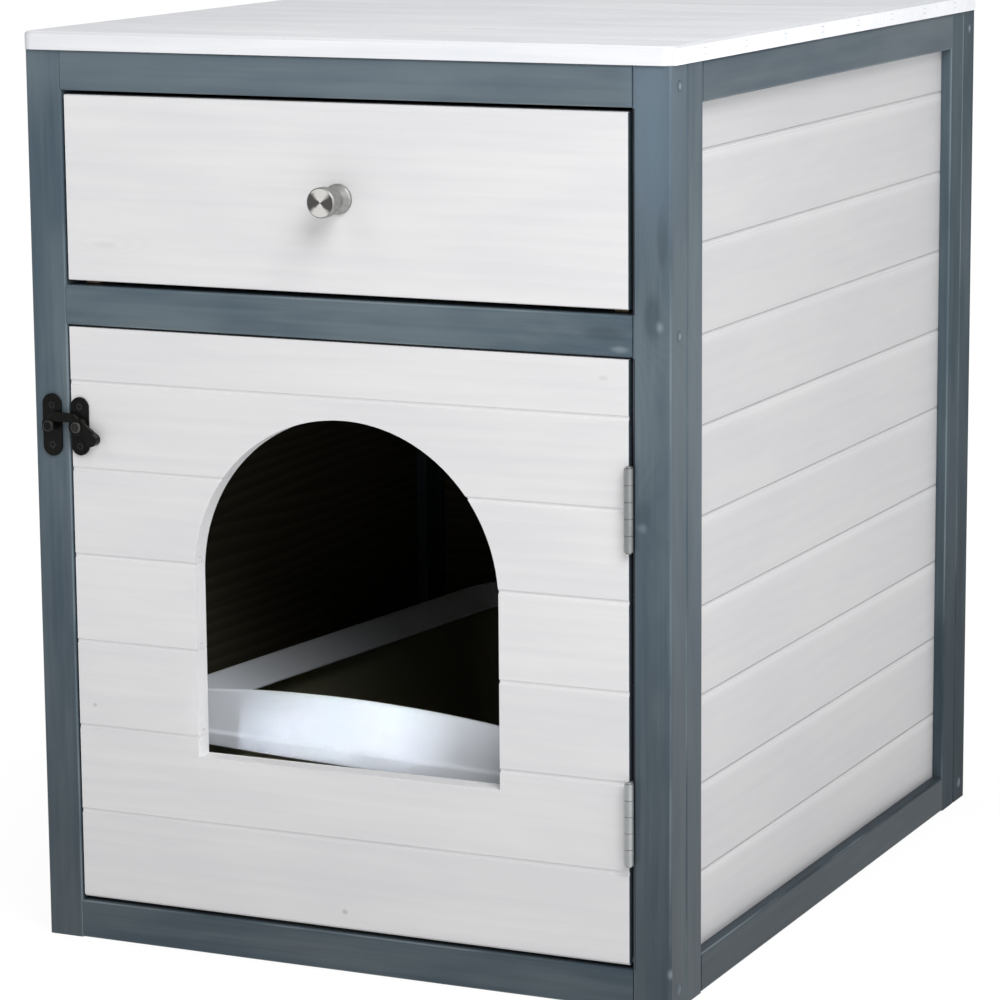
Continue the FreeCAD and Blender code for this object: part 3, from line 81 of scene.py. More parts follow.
class Shop:
    # one material: its shader and the nodes that feed it
    def __init__(self, name):
        self.material = bpy.data.materials.new(name)
        self.material.use_nodes = True
        self.tree = self.material.node_tree
        self.tree.nodes.clear()
        self.shader = self.tree.nodes.new("ShaderNodeBsdfPrincipled")
        end = self.tree.nodes.new("ShaderNodeOutputMaterial")
        self.tree.links.new(self.shader.outputs["BSDF"], end.inputs["Surface"])
        self.spot = self.split(self.node("ShaderNodeTexCoord", output="Object"))

    def plug(self, socket, value):
        if isinstance(value, Wire):
            self.tree.links.new(value.socket, socket)
        elif isinstance(value, tuple) and len(value) < len(socket.default_value):
            socket.default_value = (*value, 1)
        elif value is not None:
            socket.default_value = value

    def node(self, kind, settings=None, values=None, output=0):
        made = self.tree.nodes.new(kind)
        for key, setting in (settings or {}).items():
            setattr(made, key, setting)
        pairs = values.items() if isinstance(values, dict) else enumerate(values or [])
        for key, value in pairs:
            self.plug(made.inputs[key], value)
        return Wire(self, made.outputs[output])

    def split(self, vector):
        made = self.node("ShaderNodeSeparateXYZ", values=[vector]).socket.node
        return {axis: Wire(self, made.outputs[axis]) for axis in "XYZ"}

    def vector(self, x, y, z):
        return self.node("ShaderNodeCombineXYZ", values=[x, y, z])

    def noise(self, x, y, z, detail=2.0, roughness=0.5):
        return self.node("ShaderNodeTexNoise", values={
            "Vector": self.vector(x, y, z), "Scale": 1.0, "Detail": detail, "Roughness": roughness})

    def smooth(self, value, low, high):
        # 0 at low and 1 at high
        return self.node("ShaderNodeMapRange", {"interpolation_type": "SMOOTHSTEP"},
                         {"Value": value, "From Min": low, "From Max": high})

    def mix(self, factor, low, high, blend="MIX"):
        return self.node("ShaderNodeMix", {"data_type": "RGBA", "blend_type": blend},
                         {0: factor, 6: low, 7: high}, 2)

    def shade(self, colour, level):
        return self.mix(1.0, colour, self.vector(level, level, level), "MULTIPLY")

    def facing(self):
        return self.split(self.node("ShaderNodeTexCoord", output="Normal"))

    def arris(self):
        # 1 where an edge is rounded or bevelled and so faces between the axes
        normal = self.facing()
        steepest = abs(normal["X"]).maths("MAXIMUM", abs(normal["Y"])).maths("MAXIMUM", abs(normal["Z"]))
        return self.smooth(1 - steepest, 0.02, 0.2)

    def finish(self, colour, roughness, metallic=0.0, height=None, bump=0.2, depth=0.0005, specular=0.5):
        self.plug(self.shader.inputs["Base Color"], colour)
        self.plug(self.shader.inputs["Roughness"], roughness)
        self.plug(self.shader.inputs["Metallic"], metallic)
        self.plug(self.shader.inputs["Specular IOR Level"], specular)
        if height is not None:
            relief = {"Strength": bump, "Distance": depth, "Height": height}
            self.plug(self.shader.inputs["Normal"], self.node("ShaderNodeBump", values=relief))
        return self.material


# Wood under paint: growth rings, fibres and clouds that follow the length of a timber or board

woodLook = {
    "ringWidth": 0.0075,  # between growth rings on a sawn face
    "ringDrift": 0.05, "ringSlant": 0.7,
    "bendAlong": 1.3, "bendAcross": 6,  # how often the rings drift, per metre
    "knotReach": 4.0, "knotPull": 2.5,  # the rings flow around a knot
    "fibreWidth": 0.0011, "fibreLength": 0.07,  # metres, like the sizes below
    "streakWidth": 0.006, "streakLength": 0.35,
    "cloudWidth": 0.035, "cloudLength": 0.16,
    "apart": (5, 3, 2),  # how far apart in the tree two pieces may come from
}
paintLook = {
    "clouds": 0.7, "streaks": 0.3, "cover": (0.32, 0.68),  # where the paint lies thin
    "edgeWearAndShadingWhere": (0.85, 1.2), "uneven": 0.15, "insideRough": 0.2,
    "fibreRelief": 0.5, "streakRelief": 0.3, "ringRelief": 0.2,
}


def spotDistance(shop, spot):
    # how far off a knot or stain is, in its own radii
    x = (shop.spot["X"] - spot["at"][0]) / spot["radii"][0]
    y = (shop.spot["Y"] - spot["at"][1]) / spot["radii"][1]
    z = (shop.spot["Z"] - spot["at"][2]) / spot["radii"][2]
    return (x * x + y * y + z * z).maths("SQRT")


def woodGrain(shop, along, boards=None, seed=0.0, knots=()):
    u = shop.spot[along]
    v, w = [shop.spot[axis] for axis in "XYZ" if axis != along]
    if boards:
        # each board comes from its own place in the tree
        index = ((shop.spot[boards["axis"]] - boards["start"]) / boards["pitch"]).maths("FLOOR")
        chance = shop.split(shop.node("ShaderNodeTexWhiteNoise", {"noise_dimensions": "1D"},
                                      {"W": index + seed}, "Color"))
        first, second, third = chance["X"], chance["Y"], chance["Z"]
    else:
        first = shop.node("ShaderNodeObjectInfo", output="Random")
        second = (first * 7.3).maths("FRACT")
        third = (first * 3.7).maths("FRACT")
    look = woodLook
    u = u + first * look["apart"][0] + seed
    v = v + second * look["apart"][1]
    w = w + third * look["apart"][2]
    bend = shop.noise(u * look["bendAlong"], v * look["bendAcross"], w * look["bendAcross"])
    rings = (v + w * look["ringSlant"] + bend * look["ringDrift"]) / look["ringWidth"]
    knotMask = 0.0
    for knot in knots:
        distance = spotDistance(shop, knot)
        rings = rings + shop.smooth(distance, look["knotReach"], 0.0) * look["knotPull"]
        knotMask = shop.smooth(distance, 1.0, 0.4) * knot["strength"] + knotMask
    saw = rings.maths("FRACT")
    late = shop.smooth(saw, 0.2, 0.85) * shop.smooth(saw, 1.0, 0.9)
    fibres = shop.noise(u / look["fibreLength"], v / look["fibreWidth"], w / look["fibreWidth"], 3.0, 0.6)
    streaks = shop.noise(u / look["streakLength"], v / look["streakWidth"], w / look["streakWidth"], 2.0)
    clouds = shop.noise(u / look["cloudLength"], v / look["cloudWidth"], w / look["cloudWidth"], 3.0, 0.6)
    return {"late": late, "fibres": fibres, "streaks": streaks, "clouds": clouds, "tone": third,
            "knots": knotMask}


def paintedJointLight(shop, edge, boards):
    # painted light and shade at each joint: a painted highlight under it, where a rounded board's edge would
    # catch the light, and painted shade above it, where the next one turns away
    pitch = boards["pitch"]
    height = ((shop.spot[boards["axis"]] - boards["start"]) / pitch).maths("FRACT") * pitch
    light = shop.smooth(height, pitch - edge["lightWidth"], pitch) * edge["light"]
    return light - shop.smooth(height, edge["shadeWidth"], 0.0) * edge["shade"]


def paintedGapShade(shop, gap, colour):
    # the edges on both sides of a gap, painted darker than the faces: painted shade of the gap
    blur = gap["blur"]
    strip = shop.smooth(shop.spot["X"], gap["from"], gap["from"] + blur)
    strip = strip * shop.smooth(shop.spot["X"], gap["to"] + blur, gap["to"])
    for low, high in gap["heights"]:
        beside = shop.smooth(shop.spot["Z"], low, low + blur) * shop.smooth(shop.spot["Z"], high, high - blur)
        colour = shop.mix(strip * beside, colour, gap["colour"])
    return colour


def paintedWood(name, look, along, boards=None, inside=None):
    shop = Shop(name)
    paint = paintLook
    grain = woodGrain(shop, along, boards, look["seed"], look["knots"])
    patches = grain["clouds"] * paint["clouds"] + grain["streaks"] * paint["streaks"]
    colour = shop.mix(shop.smooth(patches, *paint["cover"]), look["deep"], look["thin"])
    # darker towards the floor: painted shade
    floorwardShade = shop.smooth(shop.spot["Z"], look["floorwardShadeTop"], 0.0) * look["floorwardShade"]
    level = (1 + (grain["fibres"] - 0.5) * look["fibre"] + (grain["tone"] - 0.5) * look["tone"]
             - grain["late"] * look["ring"] - floorwardShade)
    # painted highlight and painted shade along the boards' joints
    if boards and look["edge"]:
        level = level + paintedJointLight(shop, look["edge"], boards)
    for axis, low, high, lift in look["litByFacing"]:
        # edges and jambs, told by the way they face, are painted lighter than the faces: painted light
        level = level + shop.smooth(abs(shop.facing()[axis]), low, high) * lift
    colour = shop.shade(colour, level)
    if look["knots"]:
        colour = shop.mix(grain["knots"], colour, look["knotColour"])
    for scuff in look["scuffs"]:
        reach = spotDistance(shop, scuff) + (grain["clouds"] + grain["streaks"] - 1) * scuff["ragged"]
        colour = shop.mix(shop.smooth(reach, 1.0, 0.0) * scuff["strength"], colour, scuff["colour"])
    # painted shade beside a gap
    if look["gap"]:
        colour = paintedGapShade(shop, look["gap"], colour)
    # rounded edges take another colour: worn paint on the white boards, worn paint and partly a painted
    # highlight on the blue frame, painted shade on the top's edges
    edgeWearAndShading = shop.arris() * shop.smooth(grain["streaks"] + grain["clouds"], *paint["edgeWearAndShadingWhere"]) * look["edgeWearAndShadingShare"]
    colour = shop.mix(edgeWearAndShading, colour, look["edgeWearAndShading"])
    roughness = look["roughness"] + (grain["streaks"] + grain["clouds"] - 1) * paint["uneven"]
    if inside:
        # the faces turned to the inside carry a dark stain, dark enough to stand in for the shade inside the
        # closed cabinet: partly painted shade
        reach = abs(shop.spot[inside["axis"]])
        hidden = reach.maths("LESS_THAN", inside["limit"])
        colour = shop.mix(hidden, colour, shop.mix(grain["late"], stainAndShadeLook["dark"], stainAndShadeLook["light"]))
        roughness = roughness + hidden * paint["insideRough"]
    height = (grain["fibres"] * paint["fibreRelief"] + grain["streaks"] * paint["streakRelief"]
              - grain["late"] * paint["ringRelief"])
    return shop.finish(colour, roughness, height=height, bump=look["bump"], specular=look["gloss"])


# a dark stain, partly painted shade of the cabinet's inside
stainAndShadeLook = {"dark": (0.066, 0.058, 0.036), "light": (0.096, 0.085, 0.056)}
blueLook = {
    "deep": (0.058, 0.089, 0.117), "thin": (0.113, 0.147, 0.168),
    "fibre": 0.22, "ring": 0.04, "tone": 0.14, "floorwardShade": 0.42, "floorwardShadeTop": 0.45,
    "edgeWearAndShadingShare": 0.7, "edgeWearAndShading": (0.19, 0.235, 0.26), "roughness": 0.5, "gloss": 0.3, "bump": 0.2, "seed": 0.0,
    "knotColour": (0.042, 0.060, 0.075), "edge": None, "litByFacing": [],
    # a near-black strip on the right post's inner front edge, beside the drawer and the door: painted shade
    # of the gap
    "gap": {"from": 0.2122, "to": 0.2142, "blur": 0.0006, "colour": (0.010, 0.014, 0.020),
            "heights": [(0.0275, 0.441), (0.4685, 0.603)]},
    "knots": [
        {"at": (0.2335, -0.299, 0.520), "radii": (0.005, 0.02, 0.026), "strength": 0.6},
        {"at": (0.227, -0.299, 0.468), "radii": (0.008, 0.02, 0.020), "strength": 0.55},
        {"at": (0.194, -0.299, 0.456), "radii": (0.020, 0.02, 0.006), "strength": 0.5},
        {"at": (0.221, -0.299, 0.338), "radii": (0.007, 0.02, 0.012), "strength": 0.4},
    ],
    "scuffs": [
        {"at": (-0.05, -0.299, 0.617), "radii": (0.50, 0.03, 0.030), "strength": 0.35, "ragged": 0.3,
         "colour": (0.160, 0.196, 0.226)},
        {"at": (0.226, -0.299, 0.590), "radii": (0.030, 0.04, 0.110), "strength": 0.6, "ragged": 0.5,
         "colour": (0.135, 0.187, 0.238)},
        {"at": (0.232, -0.299, 0.462), "radii": (0.004, 0.02, 0.006), "strength": 0.6, "ragged": 1.0,
         "colour": (0.26, 0.31, 0.34)},
        {"at": (0.204, -0.299, 0.446), "radii": (0.008, 0.02, 0.003), "strength": 0.5, "ragged": 1.0,
         "colour": (0.24, 0.29, 0.32)},
        {"at": (0.219, -0.299, 0.329), "radii": (0.005, 0.02, 0.005), "strength": 0.5, "ragged": 1.0,
         "colour": (0.20, 0.25, 0.30)},
        {"at": (0.2405, -0.299, 0.028), "radii": (0.004, 0.004, 0.005), "strength": 0.7, "ragged": 0.5,
         "colour": (0.24, 0.29, 0.33)},
    ],
}
whiteLook = {
    "deep": (0.642, 0.642, 0.656), "thin": (0.690, 0.687, 0.694),
    "fibre": 0.04, "ring": 0.014, "tone": 0.025, "floorwardShade": 0.08, "floorwardShadeTop": 0.28,
    "edgeWearAndShadingShare": 0.15, "edgeWearAndShading": (0.60, 0.58, 0.54), "roughness": 0.5, "gloss": 0.35, "bump": 0.15, "seed": 0.0,
    "knotColour": (0.42, 0.40, 0.38), "knots": [], "scuffs": [], "edge": None, "litByFacing": [], "gap": None,
}
gapEndColourAndShade = {  # the right ends of the drawer and the door wear the frame's colour, dark enough to stand in for the shade in the gap beside them: partly painted shade
    "blur": 0.0003, "colour": (0.052, 0.074, 0.094), "heights": [(0.0, 0.7)],
}
# the rear posts wear a darker copy of the blue paint: painted shade
rearShadedLook = dict(blueLook, deep=(0.047, 0.071, 0.090), thin=(0.091, 0.120, 0.139), gloss=0.1, roughness=0.65,
                seed=0.4, gap=None)
# the sides wear a darker copy of the white paint: painted shade
sideShadedLook = dict(whiteLook, deep=(0.596, 0.596, 0.612), thin=(0.640, 0.639, 0.648),
                edge={"shade": 0.09, "shadeWidth": 0.0045, "light": 0.14, "lightWidth": 0.009})
# the sides' bottom rails wear a darker copy of the blue paint: painted shade
lowShadedLook = dict(blueLook, deep=(0.048, 0.070, 0.089), thin=(0.086, 0.116, 0.137), gloss=0.2)
doorJointShading = {"shade": 0.05, "shadeWidth": 0.0028, "light": 0.03, "lightWidth": 0.0035}
doorRight = extent("door_board_1", 0)[1]
doorGap = dict(gapEndColourAndShade, **{"from": doorRight - 0.0004, "to": doorRight + 0.001})
# the door's edges and its doorway's jamb are painted lighter: painted light
doorLook = dict(whiteLook, seed=1.7, litByFacing=[("Y", 0.5, 0.05, 0.42)], edge=doorJointShading, gap=doorGap, knots=[
    {"at": (-0.003, -0.2985, 0.0429), "radii": (0.0028, 0.006, 0.0024), "strength": 0.8},
    {"at": (-0.1983, -0.2985, 0.1712), "radii": (0.0022, 0.006, 0.0020), "strength": 0.6},
    {"at": (0.1918, -0.2985, 0.4267), "radii": (0.0050, 0.006, 0.0022), "strength": 0.25},
])
drawerRight = extent("drawer_front", 0)[1]
drawerGap = dict(gapEndColourAndShade, **{"from": drawerRight - 0.0004, "to": drawerRight + 0.001})
drawerLook = dict(whiteLook, seed=5.2, ring=0.015, gap=drawerGap, knots=[
    {"at": (-0.1804, -0.2985, 0.4976), "radii": (0.012, 0.006, 0.003), "strength": 0.15},
])
# the top's side and front edges are painted lighter by the way they face, painted light, and its rounded
# arrises take a darker colour, painted shade
topLook = dict(whiteLook, seed=3.0, ring=0.03, edgeWearAndShadingShare=0.9, edgeWearAndShading=(0.58, 0.59, 0.61), deep=(0.630, 0.646, 0.676),
               thin=(0.700, 0.706, 0.722), litByFacing=[("X", 0.85, 0.98, 0.46), ("Y", 0.85, 0.98, 0.08)], knots=[
    {"at": (0.030, -0.2661, 0.643), "radii": (0.010, 0.004, 0.006), "strength": 0.3},
    {"at": (0.2226, -0.2024, 0.643), "radii": (0.005, 0.004, 0.006), "strength": 0.3},
])

timberWidth = extent("front_bottom_rail", 2)[1]
boardPitch = 0.0614
topPitch = 0.0735
topFirst = 0.053  # what shows of the top's foremost board
grooveDepth = 0.011
seams = {
    "side": {"axis": "Z", "start": timberWidth - grooveDepth, "pitch": boardPitch},
    "door": {"axis": "Z", "start": extent("door_board_6", 2)[0] - boardPitch, "pitch": boardPitch},
    "top": {"axis": "Y", "start": extent("top_boards", 1)[0] + topFirst - topPitch, "pitch": topPitch},
}
midBoard = 0.0055
sideInner = {"axis": "X", "limit": extent("right_side_boards", 0)[1] - midBoard}
backInner = {"axis": "Y", "limit": extent("back_boards", 1)[1] - midBoard}

blue = {axis: paintedWood(f"blue_paint_{axis.lower()}", blueLook, axis) for axis in "XYZ"}
blueRear = paintedWood("blue_paint_rear_shaded", rearShadedLook, "Z")
blueLow = paintedWood("blue_paint_low_shaded", lowShadedLook, "Y")
whiteSide = paintedWood("white_side_boards_shaded", sideShadedLook, "Y", seams["side"], sideInner)
whiteBack = paintedWood("white_back_boards", whiteLook, "X", seams["side"], backInner)
whiteTop = paintedWood("white_top_boards", topLook, "X", seams["top"])
whiteDoor = paintedWood("white_door_boards", doorLook, "X", seams["door"])
whiteBatten = paintedWood("white_battens", whiteLook, "Z")
whiteDrawer = paintedWood("white_drawer_front", drawerLook, "X")
print("paint ready")


# Bare wood, and dark-stained wood that is partly painted shade, of the inner parts

bareLook = {
    "drawer": ((0.60, 0.45, 0.29), (0.44, 0.31, 0.18)),
    "stainedAndShaded": (stainAndShadeLook["light"], stainAndShadeLook["dark"]),
    "fibre": 0.3, "roughness": 0.6, "uneven": 0.2, "bump": 0.3, "gloss": 0.3,
}


def bareWood(name, shades, along):
    shop = Shop(name)
    look = bareLook
    grain = woodGrain(shop, along)
    colour = shop.mix(grain["late"] * 0.5 + grain["clouds"] * 0.5, *shades)
    colour = shop.shade(colour, 1 + (grain["fibres"] - 0.5) * look["fibre"])
    height = grain["fibres"] * 0.5 + grain["late"] * 0.5
    return shop.finish(colour, look["roughness"] + (grain["streaks"] - 0.5) * look["uneven"],
                       height=height, bump=look["bump"], specular=look["gloss"])


bare = {axis: bareWood(f"bare_wood_{axis.lower()}", bareLook["drawer"], axis) for axis in "XY"}
stainedAndShaded = {axis: bareWood(f"stain_and_shade_wood_{axis.lower()}", bareLook["stainedAndShaded"], axis) for axis in "XYZ"}


# Metals

metalLook = {
    # the bright colours of the black latch and of its screws and rivet are painted highlights on their edges
    "black": {"colour": (0.002, 0.0024, 0.002), "bright": (0.045, 0.045, 0.043), "roughness": 0.2,
              "metallic": 0.0, "specular": 0.06, "low": 0.0},
    "rubbedAndGlinting": {"colour": (0.003, 0.003, 0.003), "bright": (0.09, 0.09, 0.085), "roughness": 0.2,
               "metallic": 0.0, "specular": 0.15, "low": 0.0},
    "hinge": {"colour": (0.205, 0.215, 0.215), "bright": (0.39, 0.40, 0.40), "roughness": 0.45,
              "metallic": 0.4, "specular": 0.4, "low": 0.35},  # the lower hinge is painted brighter: painted light
    "zinc": {"colour": (0.45, 0.44, 0.42), "bright": (0.66, 0.66, 0.64), "roughness": 0.35,
             "metallic": 0.9, "specular": 0.5, "low": 0.0},
}
metalGrain = {"dirt": 90, "scratch": 900, "scratchAlong": 60, "lowBelow": 0.2, "lowFrom": 0.25}


def workedMetal(name, look):
    # a little dirt, fine scratches and bright edges: rubbed metal on the steel, and a painted highlight on
    # the black latch and its screws
    shop = Shop(name)
    grain = metalGrain
    x, y, z = [shop.spot[axis] for axis in "XYZ"]
    dirt = shop.noise(x * grain["dirt"], y * grain["dirt"], z * grain["dirt"], 4.0, 0.6)
    scratches = shop.noise(x * grain["scratch"], y * grain["scratch"], z * grain["scratchAlong"])
    # edges and scratches painted brighter: rubbed steel, and on the black latch a painted highlight
    bright = (shop.arris() * 0.6 + scratches * 0.3) * dirt * 1.5
    colour = shop.mix(bright, look["colour"], look["bright"])
    # lower down the colour is painted lighter: painted light
    if look["low"]:
        colour = shop.shade(colour, 1 + shop.smooth(z, grain["lowFrom"], grain["lowBelow"]) * look["low"])
    return shop.finish(colour, look["roughness"] + (dirt - 0.5) * 0.25, look["metallic"],
                       scratches * 0.4 + dirt * 0.6, 0.15, 0.0002, look["specular"])


blackMetal = workedMetal("black_metal", metalLook["black"])
glintingBlackMetal = workedMetal("black_metal_with_painted_glint", metalLook["rubbedAndGlinting"])
hingeMetal = workedMetal("hinge_steel", metalLook["hinge"])
zincMetal = workedMetal("zinc_steel", metalLook["zinc"])

knobLook = {
    "groove": 0.0002, "grooveColour": (0.5, 0.49, 0.48),  # width and colour of a turning mark
    # dark and bright are the colours of the painted reflection fans on the front face
    "dark": (0.030, 0.029, 0.026), "bright": (0.78, 0.77, 0.74), "turn": 0.15, "paintedFan": (-0.6, 0.5),
    "side": (0.17, 0.17, 0.16), "sideBright": (0.40, 0.40, 0.39), "faceDepth": 0.003,
    "wobble": 300, "roughness": 0.42, "facePolish": 0.17, "metallic": 0.85,
}


def turnedSteel(name, look, centre):
    # fine rings about the axis, and on the front face fans of light and dark painted into the colour: a
    # painted reflection of the turned face
    shop = Shop(name)
    x = shop.spot["X"] - centre[0]
    z = shop.spot["Z"] - centre[1]
    angle = z.maths("ARCTAN2", x)
    radius = (x * x + z * z).maths("SQRT")
    rings = shop.noise(radius / look["groove"], shop.spot["Y"] / look["groove"], 0.0)
    wobble = shop.noise(x * look["wobble"], z * look["wobble"], shop.spot["Y"] * look["wobble"])
    # painted reflection: light and dark fans about the axis
    paintedFan = (angle * 2 + look["turn"]).maths("COSINE") * -1 + (wobble - 0.5) * 0.8
    near = shop.spot["Y"].maths("LESS_THAN", centre[2] + look["faceDepth"])
    face = shop.smooth(shop.facing()["Y"] * -1, 0.7, 0.95) * near
    colour = shop.mix(shop.smooth(paintedFan, *look["paintedFan"]), look["dark"], look["bright"])
    colour = shop.mix(face, shop.mix(wobble, look["side"], look["sideBright"]), colour)
    colour = shop.mix(rings * 0.25, colour, look["grooveColour"])
    roughness = look["roughness"] - face * look["facePolish"] + rings * 0.15
    return shop.finish(colour, roughness, look["metallic"], rings, 0.2, 0.0002)


knobCentre = [sum(extent("drawer_knob", axis)) / 2 for axis in (0, 2)] + [extent("drawer_knob", 1)[0]]
knobMetal = turnedSteel("knob_steel", knobLook, knobCentre)
print("metals ready")


# Plastics of the litter tray

plasticLook = {
    "rim": {"colour": (0.90, 0.94, 1.0), "dim": (0.86, 0.915, 0.99), "roughness": 0.5, "bump": 0.05},
    "pan": {"colour": (0.290, 0.285, 0.200), "dim": (0.230, 0.225, 0.155), "roughness": 0.45, "bump": 0.12},
}
plasticGrain = {"clouds": 14, "skin": 900, "scuffs": (40, 300, 500)}


def mouldedPlastic(name, look):
    # faint clouds, a fine skin and scuffs that run along the tray
    shop = Shop(name)
    x, y, z = [shop.spot[axis] for axis in "XYZ"]
    grain = plasticGrain
    clouds = shop.noise(x * grain["clouds"], y * grain["clouds"], z * grain["clouds"], 3.0)
    skin = shop.noise(x * grain["skin"], y * grain["skin"], z * grain["skin"])
    scuffs = shop.noise(x * grain["scuffs"][0], y * grain["scuffs"][1], z * grain["scuffs"][2], 3.0)
    colour = shop.mix(clouds, look["dim"], look["colour"])
    return shop.finish(colour, look["roughness"] + (scuffs - 0.5) * 0.2, 0.0, skin * 0.5 + scuffs * 0.5,
                       look["bump"], 0.0002, 0.3)


rimPlastic = mouldedPlastic("rim_plastic", plasticLook["rim"])
panPlastic = mouldedPlastic("pan_plastic", plasticLook["pan"])


def finishOf(name):
    # which finish a node wears
    if name.startswith("door_board"):
        return whiteDoor
    if "hinge" in name:
        return hingeMetal
    if name.startswith("latch"):
        return glintingBlackMetal if "screws" in name or "rivet" in name else blackMetal
    single = {
        "left_side_boards": whiteSide, "right_side_boards": whiteSide, "back_boards": whiteBack,
        "top_boards": whiteTop, "door_battens": whiteBatten, "drawer_front": whiteDrawer,
        "drawer_left_side": bare["Y"], "drawer_right_side": bare["Y"],
        "drawer_back": bare["X"], "drawer_bottom": bare["X"],
        "top_battens": stainedAndShaded["Y"], "floor_cleats": stainedAndShaded["Y"], "shelf_cleats": stainedAndShaded["Y"],
        "drawer_guides": stainedAndShaded["Y"], "drawer_shelf": stainedAndShaded["Y"], "floor_panel": stainedAndShaded["X"],
        "door_stop": stainedAndShaded["Z"], "frame_screws": zincMetal, "knob_screw": zincMetal,
        "drawer_knob": knobMetal, "litter_tray_rim": rimPlastic, "litter_tray_pan": panPlastic,
    }
    if name in single:
        return single[name]
    if name.endswith("post"):
        return blueRear if "rear" in name or "back" in name else blue["Z"]
    if "_side_bottom" in name:
        return blueLow
    return blue["Y"] if "_side_" in name else blue["X"]


for name, piece in nodes.items():
    piece.data.materials.clear()
    piece.data.materials.append(finishOf(name))
print("finishes given to", len(nodes), "nodes")


# Rim of the litter tray, whose long walls are crowned in the middle

rimLook = {
    "turn": -7.0,  # degrees, as the tray is left in the cabinet
    "corner": 0.048, "lip": 0.008, "step": 0.0016, "lean": 0.007, "slopeWidth": 0.024, "slopeDrop": 0.013,
    "wall": 0.0022, "crown": 0.0131, "sag": 0.0024, "round": 0.0008, "cornerSteps": 14, "sideSteps": 30,
}


def turnedBox(name, angle):
    # middle and half sizes of a node that stands turned by an angle
    spots = [(nodes[name].matrix_world @ vertex.co).xy for vertex in nodes[name].data.vertices]
    middle = Vector([(min(row) + max(row)) / 2 for row in zip(*spots)])
    own = [Matrix.Rotation(-angle, 2) @ (spot - middle) for spot in spots]
    return middle, *[max(row) for row in zip(*own)]


def softened(points, radius):
    # a closed outline with each corner rounded
    smooth = []
    for index, corner in enumerate(points):
        before = points[index - 1]
        after = points[(index + 1) % len(points)]
        start = corner + (before - corner).normalized() * min(radius, (before - corner).length / 2.2)
        end = corner + (after - corner).normalized() * min(radius, (after - corner).length / 2.2)
        for share in (0.0, 0.33, 0.67, 1.0):
            smooth.append(start.lerp(corner, share).lerp(corner.lerp(end, share), share))
    return smooth


def roundedLoop(halfWidth, front, back, look):
    # places and outward directions along the rim's outer edge, seen from above
    radius = look["corner"]
    corners = [(halfWidth - radius, front + radius, -90), (halfWidth - radius, back - radius, 0),
               (radius - halfWidth, back - radius, 90), (radius - halfWidth, front + radius, 180)]
    loop = []
    for x, y, angle in corners:
        arc = []
        for step in range(look["cornerSteps"] + 1):
            turn = math.radians(angle + 90 * step / look["cornerSteps"])
            outward = Vector((math.cos(turn), math.sin(turn)))
            arc.append((Vector((x, y)) + outward * radius, outward))
        if loop:
            loop += straight(loop[-1], arc[0], look["sideSteps"])
        loop += arc
    return loop + straight(loop[-1], loop[0], look["sideSteps"])


def straight(start, end, steps):
    return [(start[0].lerp(end[0], step / steps), start[1]) for step in range(1, steps)]


def makeRim():
    look = rimLook
    turn = math.radians(look["turn"])
    middle, halfWidth, halfLength = turnedBox("litter_tray_rim", turn)
    bottom, top = extent("litter_tray_rim", 2)
    height = top - bottom
    wall = look["wall"]
    ridge = look["lean"] + 1.4 * wall
    lip, step, lean = look["lip"], look["step"], look["lean"]
    section = [
        (0, 0), (0, lip), (step, lip + step),
        (lean, height - wall / 2), (lean + wall / 2, height), (lean + wall * 1.5, height),
        (lean + look["slopeWidth"], height - look["slopeDrop"]),
        (lean + look["slopeWidth"], height - look["slopeDrop"] - wall),
        (ridge, height - 1.2 * wall),
        (step + wall, lip + step - wall / 2), (wall, lip - wall / 2), (wall, 0),
    ]
    profile = softened([Vector(point) for point in section], look["round"])
    loop = roundedLoop(halfWidth, -halfLength, halfLength, look)
    vertices = []
    for place, outward in loop:
        bow = 1 - (place.x / halfWidth) ** 2
        for inset, rise in profile:
            spot = middle + Matrix.Rotation(turn, 2) @ (place - outward * inset)
            above = (rise - look["lip"]) / (height - look["lip"])
            below = 1 - rise / look["lip"]
            lift = look["crown"] * max(above, 0) - look["sag"] * max(below, 0)
            vertices.append((spot.x, spot.y, bottom + rise + lift * bow))
    count = len(profile)
    faces = []
    for station in range(len(loop)):
        following = (station + 1) % len(loop)
        for index in range(count):
            after = (index + 1) % count
            faces.append((station * count + index, station * count + after,
                          following * count + after, following * count + index))
    mesh = bpy.data.meshes.new("crowned_rim")
    mesh.from_pydata(vertices, [], faces)
    mesh.shade_smooth()
    mesh.materials.append(rimPlastic)
    rim = bpy.data.objects.new("crowned_rim", mesh)
    bpy.context.scene.collection.objects.link(rim)
    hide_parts("litter_tray_rim")
    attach(rim, "tray")


makeRim()
print("rim ready")


# Filler over the heads of the frame's screws, on both outer sides

plugLook = {
    "radius": 0.0040, "dome": 0.0005, "lumps": 0.0002, "seed": 4,
    "paint": (0.075, 0.100, 0.120), "filler": (0.24, 0.31, 0.37),
    "pale": 0.9, "paleLow": 0.15, "paleSpan": 0.6,
    "heights": {"front": (0.01375, 0.45475, 0.61675), "rear": (0.01375, 0.61675)},
    "corners": 20, "rounds": 2, "lumpScale": 400.0, "patchScale": 900,
}


